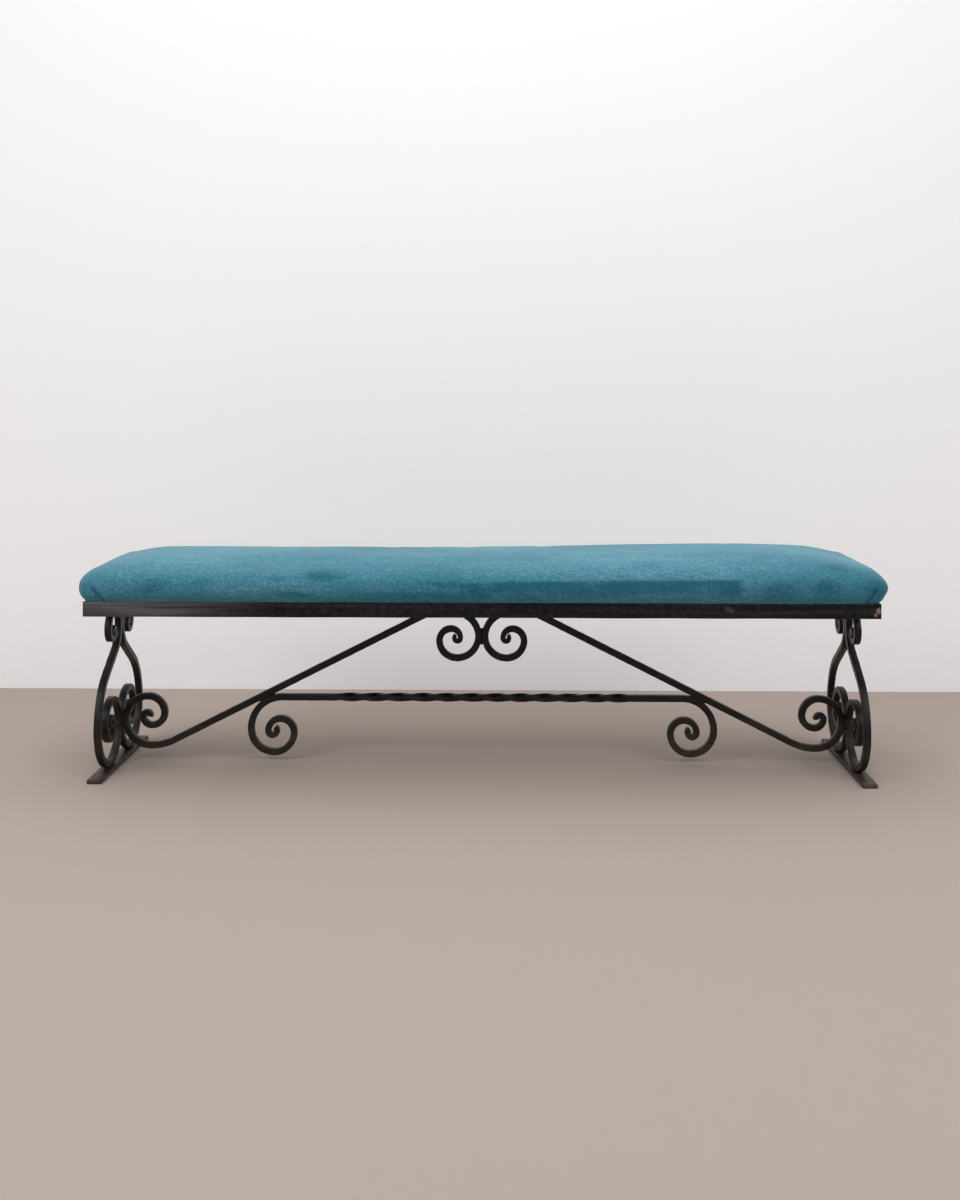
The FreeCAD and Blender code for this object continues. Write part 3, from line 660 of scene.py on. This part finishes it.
both = (-1, 1)
out = halfBar + beads["sunk"]
legTops = [(s * legs["place"] + f * out, y * (barMiddle + legs["topCurl"]), underside - beads["sunk"])
           for s in both for y in both for f in both]
legFeet = [(s * legs["place"] + f * out, y * legStand, legs["footThick"] + beads["sunk"])
           for s in both for y in both for f in both]
weldBeads("legTopWelds", "leg_top_welds", legTops, (0, 1, 0), beads["fillet"], beads["fillLength"], 71)
weldBeads("legFootWelds", "leg_foot_welds", legFeet, (0, 1, 0), beads["fillet"], beads["fillLength"], 72)
grooves = (
    ("legNeckWelds", "leg_neck_welds", neckHeight, 73), ("legCurlWelds", "leg_curl_welds", meetHeight, 74),
)
for name, node, height, seed in grooves:
    spots = [(s * legs["place"], 0, height + r * beads["grooveReach"]) for s in both for r in beads["runs"]]
    weldBeads(name, node, spots, (1, 0, 0), beads["groove"], beads["across"], seed)
touchHeight = braces["floorGap"] + halfBar + braces["footRadius"]
legSides = [(s * (legFace - beads["sunk"]), f * out, touchHeight) for s in both for f in both]
weldBeads("braceLegWelds", "brace_leg_welds", legSides, (0, 0, 1), beads["fillet"], beads["fillLength"], 75)
braceTops = [(s * braces["bendPlace"], f * out, underside - beads["sunk"]) for s in both for f in both]
weldBeads("braceTopWelds", "brace_top_welds", braceTops, (1, 0, 0), beads["fillet"], beads["fillLength"], 76)
pairSpots = [(0, 0, pairHeight + r * beads["grooveReach"]) for r in beads["runs"]]
weldBeads("bracePairWelds", "brace_pair_welds", pairSpots, (0, 1, 0), beads["groove"], beads["across"], 77)
curlSpots = []
for run in np.array(beads["runs"]) * beads["grooveReach"]:
    away = endCurl + halfBar + run ** 2 / (4 * (endCurl + halfBar))
    u = stretcher["reach"] - endCurl + away * math.sin(slope) + run * math.cos(slope)
    curlSpots += [(s * u, 0, endCentre + away * math.cos(slope) - run * math.sin(slope)) for s in both]
weldBeads("stretcherWelds", "stretcher_welds", curlSpots, (0, 1, 0), beads["groove"], beads["across"], 78)
for node in ("left_cross_bar", "right_cross_bar", "frame_corner_welds", "cross_bar_welds"):
    finishNode(node, "iron")
print("bench: welds made")

seatPad = {
    "halfLength": 0.789, "halfDepth": 0.194, "out": 0.021, "spring": 0.3705, "bulge": 0.400, "crown": 0.458,
    "crownRun": 0.200, "boardCorner": 0.010, "sideCorner": 0.034, "crownCorner": 0.060, "cornerShare": 0.9,
    "fullness": 0.83, "hem": 0.344, "boardTop": 0.3605, "hemSharp": 8, "hemLeast": 0.2,
    "wallFrom": 0.360, "wallTo": 0.369, "sideRings": 8, "topRings": 25, "cornerPoints": 10,
}


def padForm(inset, bottom):
    # Rings of a rounded rectangle, from the bottom up: straight in the tray, a quarter ellipse out to the
    # bulge, then a fuller quarter in to the crown. Every ring is drawn in by inset, and the heights with it.
    s = seatPad
    side = np.radians(np.linspace(0, 90, s["sideRings"] + 1))[:-1]
    top = np.radians(np.linspace(0, 90, s["topRings"]))
    grow = np.concatenate([s["out"] * np.sin(side), s["out"] - s["crownRun"] * (1 - np.cos(top))])
    z = np.concatenate([s["bulge"] - (s["bulge"] - s["spring"]) * np.cos(side),
                        s["bulge"] + (s["crown"] - inset - s["bulge"]) * np.sin(top) ** s["fullness"]])
    corner = np.concatenate([s["boardCorner"] + (s["sideCorner"] - s["boardCorner"]) * np.sin(side),
                             s["sideCorner"] + (s["crownCorner"] - s["sideCorner"]) * np.sin(top)])
    drawn = np.concatenate([inset * np.sin(side), np.full(len(top), inset)])
    grow = np.concatenate([grow[:1], grow - drawn])
    z = np.concatenate([[bottom], z])
    corner = np.concatenate([corner[:1], corner])
    x, y = s["halfLength"] + grow, s["halfDepth"] + grow
    corner = np.minimum(corner, y * s["cornerShare"])
    turn = np.radians(np.linspace(0, 90, s["cornerPoints"]))
    angles = np.concatenate([turn + quarter * math.pi / 2 for quarter in range(4)])
    signX = np.repeat([1, -1, -1, 1], len(turn))
    signY = np.repeat([1, 1, -1, -1], len(turn))
    px = signX * (x - corner)[:, None] + corner[:, None] * np.cos(angles)
    py = signY * (y - corner)[:, None] + corner[:, None] * np.sin(angles)
    return np.stack([px, py, np.broadcast_to(z[:, None], px.shape)], -1)


def bakedMesh(piece):
    # The piece's mesh with its modifiers applied
    seen = piece.evaluated_get(bpy.context.evaluated_depsgraph_get())
    return bpy.data.meshes.new_from_object(seen)


def swapMesh(piece, mesh):
    old = piece.data
    piece.data = mesh
    bpy.data.meshes.remove(old)


cloth = {
    "voxel": 0.008, "start": 0.008, "cap": 0.0120, "pressure": 4.0, "frames": 20, "spare": 0.03,
    "pinBelow": 0.372, "freeAbove": 0.384, "puckerCap": 0.0009, "spread": 60, "easeTurns": 10,
    "quality": 5, "mass": 0.35, "stretch": 6, "shear": 3, "bend": 2.0,
}


def slowPart(mesh, field):
    # A field without its short waves: each point goes halfway to the mean of its neighbours, many times
    ends = np.empty(len(mesh.edges) * 2, np.int32)
    mesh.edges.foreach_get("vertices", ends)
    a, b = ends.reshape(-1, 2).T
    count = len(field)
    degree = np.bincount(a, minlength=count) + np.bincount(b, minlength=count)
    for turn in range(cloth["spread"]):
        total = np.stack([np.bincount(a, c[b], count) + np.bincount(b, c[a], count) for c in field.T], -1)
        field = 0.5 * field + 0.5 * total / degree[:, None]
    return field


def readNormals(mesh):
    normals = np.empty(len(mesh.vertices) * 3, np.float32)
    mesh.vertices.foreach_get("normal", normals)
    return normals.reshape(-1, 3).astype(float)


def inflate(piece):
    # The cover is blown up from a smaller form and held where it stands in the tray. The slow part of its
    # swelling is set to the pad's size, the puckers are kept up to a cap, and so is each point's whole move.
    before = readPoints(piece.data)
    hold = piece.vertex_groups.new(name="hold")
    weight = np.clip((cloth["freeAbove"] - before[:, 2]) / (cloth["freeAbove"] - cloth["pinBelow"]), 0, 1)
    for level in np.unique(np.round(weight, 1)):
        if level:
            hold.add(np.flatnonzero(np.round(weight, 1) == level).tolist(), float(level), "REPLACE")
    modifier = piece.modifiers.new("Cloth", "CLOTH")
    settings = modifier.settings
    settings.quality = cloth["quality"]
    settings.mass = cloth["mass"]
    settings.tension_stiffness = settings.compression_stiffness = cloth["stretch"]
    settings.shear_stiffness = cloth["shear"]
    settings.bending_stiffness = cloth["bend"]
    settings.shrink_min = -cloth["spare"]
    settings.use_pressure = True
    settings.uniform_pressure_force = cloth["pressure"]
    settings.vertex_group_mass = "hold"
    settings.effector_weights.gravity = 0
    modifier.point_cache.frame_start = 1
    modifier.point_cache.frame_end = cloth["frames"]
    for step in range(1, cloth["frames"] + 1):
        scene.frame_set(step)
    blown = bakedMesh(piece)
    after = readPoints(blown)
    piece.modifiers.remove(modifier)
    piece.vertex_groups.clear()
    free = (1 - weight)[:, None]
    moved = after - before
    pucker = (moved - slowPart(blown, moved)) * free
    size = np.linalg.norm(pucker, axis=1, keepdims=True)
    pucker *= np.minimum(1, cloth["puckerCap"] / np.maximum(size, 1e-9))
    moved = readNormals(piece.data) * cloth["start"] * free + pucker
    far = np.linalg.norm(moved, axis=1, keepdims=True)
    after = before + moved * np.minimum(1, cloth["cap"] / np.maximum(far, 1e-9))
    blown.vertices.foreach_set("co", after.astype(np.float32).ravel())
    blown.update()
    scene.frame_set(1)
    swapMesh(piece, blown)
    print("bench: cover blown up, puckers up to", round(float(size.max()), 4))


def easeEdges(share, low, high):
    # 0 below low and 1 above high, smooth between them
    share = np.clip((share - low) / (high - low), 0, 1)
    return share * share * (3 - 2 * share)


def bell(place, middle, reach):
    # 1 at the middle, fading out to both sides
    return np.exp(-((place - middle) / reach) ** 2)


# Corner pleats: which end, which face, and the fold's upper and lower end, each a place along X and a height
pleats = {
    "folds": (
        (-1, -1, (-0.771, 0.397), (-0.749, 0.371)), (1, -1, (0.781, 0.399), (0.764, 0.371)),
        (-1, 1, (-0.775, 0.398), (-0.755, 0.371)), (1, 1, (0.775, 0.398), (0.753, 0.371)),
    ),
    "flap": 0.0030, "flapEdge": (-0.001, 0.0025), "flapRun": 0.016, "dip": 0.0018, "dipPlace": 0.0035,
    # linePlace, lineWide and dark set the painted shade along each crease
    "dipWide": 0.0042, "linePlace": 0.0008, "lineWide": 0.0026, "dark": 0.85,
    "fadeIn": (-0.012, 0.004), "fadeOut": 0.010, "faceFrom": 0.14,
}


def foldPleats(points):
    # Each pleat: a flap stands up on the outer side of its line and the cloth dips beside it; a painted shade
    # darkens the crease
    lift = np.zeros(len(points))
    dark = np.zeros(len(points))
    for endSide, faceSide, upper, lower in pleats["folds"]:
        upper, lower = np.array(upper), np.array(lower)
        along = (lower - upper) / np.linalg.norm(lower - upper)
        flat = points[:, [0, 2]] - upper
        run = flat @ along
        across = (flat[:, 0] * along[1] - flat[:, 1] * along[0]) * -endSide
        length = np.linalg.norm(lower - upper)
        near = easeEdges(run, *pleats["fadeIn"]) * easeEdges(-run, -length - pleats["fadeOut"], -length)
        near = near * (points[:, 1] * faceSide > pleats["faceFrom"])
        fading = np.exp(-np.clip(-across, 0, None) / pleats["flapRun"])
        flap = easeEdges(-across, *pleats["flapEdge"]) * fading
        dip = bell(across, pleats["dipPlace"], pleats["dipWide"])
        lift += near * (pleats["flap"] * flap - pleats["dip"] * dip)
        # Painted shade along the crease beside the flap
        dark += near * bell(across, pleats["linePlace"], pleats["lineWide"])
    return lift, pleats["dark"] * np.clip(dark, 0, 1)


# Marks in the pile as they are seen from the front, carried along the line of sight to the front plane:
# the middle along X, the height, half the length, half the height, the slant and the strength
pressed = (
    (-0.316, 0.4230, 0.048, 0.0130, 0.00, 1.45), (-0.400, 0.4170, 0.034, 0.0055, 0.02, 0.55),
    (-0.464, 0.4210, 0.034, 0.0045, 0.00, 0.40), (-0.553, 0.4100, 0.026, 0.0075, 0.03, 0.60),
    (-0.652, 0.4055, 0.034, 0.0125, 0.05, 0.70), (-0.372, 0.3865, 0.056, 0.0085, -0.10, 1.00),
    (-0.666, 0.3920, 0.022, 0.0070, 0.00, 0.40), (-0.255, 0.3950, 0.040, 0.0190, 0.00, 0.40),
    (-0.070, 0.4075, 0.046, 0.0050, -0.05, 0.90), (0.587, 0.3960, 0.054, 0.0210, 0.00, 0.80),
    (0.684, 0.4010, 0.034, 0.0220, 0.00, 0.85), (0.704, 0.4410, 0.034, 0.0085, -0.12, 0.70),
    (0.331, 0.4440, 0.038, 0.0110, 0.00, 0.30), (0.785, 0.4000, 0.040, 0.0300, 0.00, 0.60),
    (0.014, 0.4045, 0.020, 0.0070, 0.00, -0.55), (0.380, 0.3835, 0.046, 0.0045, 0.06, -0.55),
    (-0.500, 0.3960, 0.060, 0.0100, 0.00, -0.25),
)
# Long bands of pressed pile: places along X, the heights of the upper and the lower edge, and the strength
bands = (
    ((-0.050, 0.0, 0.045, 0.14, 0.32, 0.39, 0.505, 0.523),
     (0.4070, 0.4105, 0.4136, 0.4143, 0.4151, 0.4166, 0.4173, 0.4165),
     (0.392, 0.386, 0.382, 0.380, 0.379, 0.380, 0.381, 0.384), 1.35),
    ((-0.250, -0.225, -0.12, -0.03, 0.02),
     (0.3900, 0.3912, 0.3908, 0.3915, 0.3900),
     (0.380, 0.376, 0.374, 0.374, 0.377), 0.75),
)
# How the bands' edges run out: the upper and lower edge, both ends, and how uneven they are
bandEdge = {
    "upperRagged": 0.0006, "lowerRagged": 0.0030, "endRagged": 0.004, "leftFade": (-0.010, 0.040),
    "rightFade": (-0.006, 0.012), "upperFade": (-0.0014, 0.0036), "lowerFade": (-0.0060, 0.0140),
    "patches": 0.20, "patchWave": 0.10, "patchFlat": 3, "lowShare": 0.55, "fullFrom": 0.384, "fullTo": 0.412,
}
# How the pile lies as a whole, with a painted highlight on the crown. The loose marks on top and behind give
# the spans that the middle, the half lengths, the slant and the strength of each are drawn from.
pileLie = {
    "sight": (0.0566, -2.986, 0.788), "frontPlane": -0.21, "frontFrom": 0.03, "frontTo": 0.10,
    "grainWave": 0.030, "fineWave": 0.013, "fine": 0.6, "slow": 0.16, "slowWave": 0.22,
    # crown is the strength of the painted highlight on the top, from crownFrom to crownTo
    "markFade": 1.7, "ragged": 0.12, "crown": 0.50, "crownFrom": 0.405, "crownTo": 0.460,
    "topFrom": 0.425, "topTo": 0.445, "backFrom": 0.10, "backTo": 0.16, "topCount": 26, "backCount": 20,
    "topMarks": ((-0.75, 0.75), (-0.05, 0.19), (0.03, 0.10), (0.010, 0.030), (-0.15, 0.15), (-0.4, 0.5)),
    "backMarks": ((-0.75, 0.75), (0.38, 0.43), (0.03, 0.11), (0.005, 0.016), (-0.10, 0.10), (0.3, 0.9)),
}


def lensMarks(across, up, marks, grain):
    # Each mark is a soft oval, full at its middle: a bell curve of the distance in half lengths
    uneven = 1 + pileLie["ragged"] * grain
    total = np.zeros_like(across)
    for middle, height, halfLong, halfHigh, slant, strength in marks:
        dx = (across - middle) / halfLong
        dz = (up - height - slant * (across - middle)) / halfHigh
        total += strength * np.exp(-pileLie["markFade"] * (dx ** 2 + dz ** 2) * uneven)
    return total


def bandMarks(across, up, grain):
    # Each band is pressed below its upper edge, a clear line, and fades out slowly at its lower edge and ends
    e = bandEdge
    full = e["lowShare"] + (1 - e["lowShare"]) * easeEdges(up, e["fullFrom"], e["fullTo"])
    patchy = 1 + e["patches"] * ripple(np.stack([across, e["patchFlat"] * up], -1), e["patchWave"], 95)
    total = np.zeros_like(across)
    for places, upper, lower, strength in bands:
        top = np.interp(across, places, upper) + e["upperRagged"] * grain
        low = np.interp(across, places, lower) + e["lowerRagged"] * grain
        fromLeft = across - places[0] + e["endRagged"] * grain
        fromRight = places[-1] - across + e["endRagged"] * grain
        ends = easeEdges(fromLeft, *e["leftFade"]) * easeEdges(fromRight, *e["rightFade"])
        within = easeEdges(top - up, *e["upperFade"]) * easeEdges(up - low, *e["lowerFade"])
        total += strength * ends * within * patchy * full
    return total


def looseMarks(rng, spans, count):
    return np.stack([rng.uniform(low, high, count) for low, high in spans], -1)


def brushNapAndLight(points):
    # How the pile lies, with brushed marks in front, behind and on top, and a painted highlight that lightens
    # the crown
    x, y, z = points.T
    grain = ripple(points, pileLie["grainWave"], 91)
    grain = grain + pileLie["fine"] * ripple(points, pileLie["fineWave"], 92)
    napAndLight = pileLie["slow"] * ripple(points * np.array([0.5, 1, 1]), pileLie["slowWave"], 93)
    # Painted highlight: the top of the cover is made lighter, as if lit from above
    napAndLight = napAndLight + pileLie["crown"] * easeEdges(z, pileLie["crownFrom"], pileLie["crownTo"])
    eyeX, eyeY, eyeZ = pileLie["sight"]
    share = (pileLie["frontPlane"] - eyeY) / (y - eyeY)
    across, up = eyeX + (x - eyeX) * share, eyeZ + (z - eyeZ) * share
    front = easeEdges(-y, pileLie["frontFrom"], pileLie["frontTo"])
    napAndLight = napAndLight - front * (lensMarks(across, up, pressed, grain) + bandMarks(across, up, grain))
    rng = np.random.default_rng(94)
    onTop = looseMarks(rng, pileLie["topMarks"], pileLie["topCount"])
    behind = looseMarks(rng, pileLie["backMarks"], pileLie["backCount"])
    onCrown = (1 - front) * easeEdges(z, pileLie["topFrom"], pileLie["topTo"])
    napAndLight = napAndLight - onCrown * lensMarks(x, y, onTop, grain)
    return napAndLight - easeEdges(y, pileLie["backFrom"], pileLie["backTo"]) * lensMarks(x, z, behind, grain)


# The stuffing's own unevenness: a swell right of the middle, a slack crown, fuller ends and a slow wave
stuffing = {
    "crownFrom": 0.395, "crownTo": 0.450, "swell": 0.0086, "swellPlace": 0.47, "swellReach": 0.29,
    "slack": 0.0062, "ends": 0.0040, "endsFrom": 0.62, "endsTo": 0.80, "wave": 0.0005, "waveLength": 0.30,
    "shoulderFrom": 0.385, "shoulderTo": 0.425, "noseFrom": 0.25, "noseTo": 0.75,
    "rimFrom": 0.3680, "rimTo": 0.3715,
}
# Ends of the pad: which end, how far the cloth stands out there, at what height and its reach up and down
noses = (
    (1, 0.0065, 0.399, 0.021), (1, 0.0040, 0.373, 0.008),
    (-1, 0.0017, 0.410, 0.030), (-1, 0.0043, 0.376, 0.014),
)
# Shoulders: a place along the pad, its reach, how much higher the cloth lies there, and the places across
# the pad where that starts and is full
shoulders = (
    (-0.804, 0.019, 0.0074, -0.20, 0.06), (0.806, 0.022, 0.0076, -0.21, -0.08),
    (-0.748, 0.034, -0.0014, -0.30, -0.20), (0.748, 0.034, -0.0017, -0.30, -0.20),
    (-0.772, 0.028, -0.0022, 0.06, 0.15), (0.772, 0.028, -0.0016, 0.06, 0.15),
)


def settlePad(points):
    # Lifts, each a bell curve along the pad that fades in with the height, and pushes along X for the noses
    s = stuffing
    x, y, z = points.T
    lift = s["swell"] * bell(x, s["swellPlace"], s["swellReach"]) - s["slack"]
    lift = lift + s["ends"] * easeEdges(np.abs(x), s["endsFrom"], s["endsTo"])
    lift = lift + s["wave"] * ripple(points, s["waveLength"], 81)
    lift = lift * easeEdges(z, s["crownFrom"], s["crownTo"])
    high = easeEdges(z, s["shoulderFrom"], s["shoulderTo"])
    for middle, reach, rise, start, full in shoulders:
        lift = lift + rise * bell(x, middle, reach) * high * easeEdges(y, start, full)
    push = np.zeros_like(x)
    for end, out, height, reach in noses:
        push = push + end * out * easeEdges(end * x, s["noseFrom"], s["noseTo"]) * bell(z, height, reach)
    return np.stack([x + push * easeEdges(z, s["rimFrom"], s["rimTo"]), y, z + lift], -1)


def turnUnder(points):
    # The cover is pulled round the board. A low point's distances from the middle of the edge's round, out
    # and down, are scaled until the sum of their eighth powers is that of a nearly square corner.
    s = seatPad
    corner, sharp = s["boardCorner"], s["hemSharp"]
    core = np.array([s["halfLength"], s["halfDepth"]]) - corner
    inner = np.clip(points[:, :2], -core, core)
    beyond = points[:, :2] - inner
    below = np.clip(s["hem"] + corner - points[:, 2], 0, None)
    far = np.linalg.norm(beyond, axis=1)
    size = np.maximum((far ** sharp + below ** sharp) ** (1 / sharp) / corner, s["hemLeast"])[:, None]
    square = np.concatenate([inner + beyond / size, points[:, 2:] + below[:, None] * (1 - 1 / size)], -1)
    held = easeEdges(-points[:, 2:], -s["wallTo"], -s["wallFrom"])
    return points + held * (square - points)


form = padForm(cloth["start"], seatPad["hem"])
cover = makePiece("velvetCover", form, ringFaces(*form.shape[:2]), "velvet", "seat_pad")
remesh = cover.modifiers.new("Remesh", "REMESH")
remesh.mode = "VOXEL"
remesh.voxel_size = cloth["voxel"]
fine = bakedMesh(cover)
cover.modifiers.clear()
swapMesh(cover, fine)
inflate(cover)
ease = cover.modifiers.new("Ease", "SMOOTH")
ease.factor = 0.5
ease.iterations = cloth["easeTurns"]
finer = cover.modifiers.new("Finer", "SUBSURF")
finer.levels = finer.render_levels = 1
smooth = bakedMesh(cover)
cover.modifiers.clear()
swapMesh(cover, smooth)
skin = settlePad(readPoints(cover.data))
lift, dark = foldPleats(skin)
skin = turnUnder(skin + readNormals(cover.data) * lift[:, None])
cover.data.vertices.foreach_set("co", skin.astype(np.float32).ravel())
markPoints(cover.data, "napAndLight", brushNapAndLight(skin))
# The painted shade of the pleats' creases
markPoints(cover.data, "fold", dark)
if not cover.data.materials:
    cover.data.materials.append(finishes["velvet"])
cover.data.shade_smooth()
cover.data.update()
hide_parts("velvet_cover")
print("bench: velvet cover made,", len(cover.data.polygons), "faces, from", skin.min(0), "to", skin.max(0))

filling = {
    "layers": (("waddingLayer", "wadding", 0.0105, "wadding"), ("foamBlock", "foam_block", 0.0180, "foam")),
    "ease": (0.997, 0.99, 1), "lift": (0, 0, 0.0004), "lumps": (0, 0, 0.0006), "lumpWave": 0.05,
}
for name, node, inset, finish in filling["layers"]:
    form = padForm(inset, seatPad["boardTop"]) * np.array(filling["ease"]) + np.array(filling["lift"])
    form = form + ripple(form, filling["lumpWave"], 85)[..., None] * np.array(filling["lumps"])
    layer = makePiece(name, form, ringFaces(*form.shape[:2]), finish, "seat_pad")
    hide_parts(node)

dustCover = {
    "halfLength": 0.779, "halfDepth": 0.184, "level": 0.3436, "thick": 0.00048,
    "slack": 0.00012, "slackWave": 0.12, "alongCount": 157, "overCount": 38,
}


def stretchedCloth():
    # A flat grid with a trace of slack, then given its thickness
    rows, columns = dustCover["alongCount"], dustCover["overCount"]
    along, over = np.meshgrid(np.linspace(-1, 1, rows), np.linspace(-1, 1, columns), indexing="ij")
    x, y = along * dustCover["halfLength"], over * dustCover["halfDepth"]
    flat = np.stack([x, y, np.zeros_like(along)], -1)
    flat[..., 2] = dustCover["level"] + dustCover["slack"] * ripple(flat, dustCover["slackWave"], 88)
    here = np.arange(rows - 1)[:, None] * columns + np.arange(columns - 1)[None, :]
    faces = np.stack([here, here + columns, here + columns + 1, here + 1], -1).reshape(-1, 4).tolist()
    piece = makePiece("dustCover", flat, faces, "dustCloth", "seat_pad", outward=False)
    thick = piece.modifiers.new("Thickness", "SOLIDIFY")
    thick.thickness = dustCover["thick"]
    thick.offset = 0
    return piece


sheet = stretchedCloth()
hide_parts("dust_cover")
finishNode("seat_board", "plywood")
finishNode("cover_staples", "staple")
finishNode("dust_cover_staples", "staple")
print("bench: pad's inside and dust cover made")

stageSet = {
    "floor": (0.478, 0.396, 0.349), "wall": (0.97, 0.97, 0.98), "wallGlow": (0.055, 0.054, 0.060),
    "wallPlace": 0.72, "wallTop": 4.0, "reach": 9.0, "sky": 0.42,
}


def stagePlane(name, corners, material):
    mesh = bpy.data.meshes.new(name)
    mesh.from_pydata(corners, [], [(0, 1, 2, 3)])
    mesh.materials.append(material)
    plane = bpy.data.objects.new(name, mesh)
    scene.collection.objects.link(plane)


def stageFinish(name, colour, glow):
    # Matte from its front, clear from behind, and a little lighter to the camera alone
    f = Finish(name)
    seen = f.node("ShaderNodeLightPath", {}, {}, "Is Camera Ray")
    f.surface(Base_Color=colour, Roughness=0.85, Specular_IOR_Level=0.2, Emission_Strength=1.0,
              Emission_Color=f.mix(seen, (0, 0, 0), glow))
    clear = f.node("ShaderNodeBsdfTransparent", {}, {})
    behind = f.node("ShaderNodeNewGeometry", {}, {}, "Backfacing")
    shown = Wire(f, f.shader.outputs[0])
    mixed = f.node("ShaderNodeMixShader", {}, {0: behind, 1: shown, 2: clear})
    f.tree.links.new(mixed.socket, f.tree.nodes["Material Output"].inputs["Surface"])
    return f.material


reach, back, top = stageSet["reach"], stageSet["wallPlace"], stageSet["wallTop"]
stagePlane("floor", [(-reach, -reach, 0), (reach, -reach, 0), (reach, reach, 0), (-reach, reach, 0)],
           stageFinish("floor", stageSet["floor"], (0, 0, 0)))
stagePlane("backdrop", [(-reach, back, 0), (reach, back, 0), (reach, back, top), (-reach, back, top)],
           stageFinish("backdrop", stageSet["wall"], stageSet["wallGlow"]))

world = bpy.data.worlds.new("studio")
scene.world = world
world.use_nodes = True
sky = world.node_tree.nodes["Background"]
sky.inputs["Color"].default_value = (1.0, 1.0, 1.0, 1)
sky.inputs["Strength"].default_value = stageSet["sky"]

lamps = (   # place, aim, width and power
    ("softLeft", (-2.6, -2.6, 2.5), (-0.1, 0, 0.3), 1.8, 46),
    ("softRight", (2.6, -2.6, 2.5), (0.1, 0, 0.3), 1.8, 38),
    ("softTop", (0, -0.5, 3.0), (0, 0, 0.3), 2.4, 26),
)
for name, spot, aim, size, power in lamps:
    light = bpy.data.lights.new(name, "AREA")
    light.size = size
    light.energy = power
    lamp = bpy.data.objects.new(name, light)
    lamp.location = spot
    way = np.array(spot) - np.array(aim)
    flatWay = math.hypot(way[0], way[1])
    lamp.rotation_euler = (math.atan2(flatWay, way[2]), 0, math.atan2(way[0], -way[1]) if flatWay else 0)
    scene.collection.objects.link(lamp)

viewPoint = {
    "lens": 42.0, "sensor": 36.0, "shift": -0.173, "place": (0.05656, -2.9857, 0.788), "turn": 0.0202,
}
lens = bpy.data.cameras.new("view")
lens.lens = viewPoint["lens"]
lens.sensor_width = viewPoint["sensor"]
lens.shift_y = viewPoint["shift"]
camera = bpy.data.objects.new("view", lens)
camera.location = viewPoint["place"]
camera.rotation_euler = (math.pi / 2, 0, viewPoint["turn"])
scene.collection.objects.link(camera)
scene.camera = camera
print("bench: stage, lamps and camera placed")
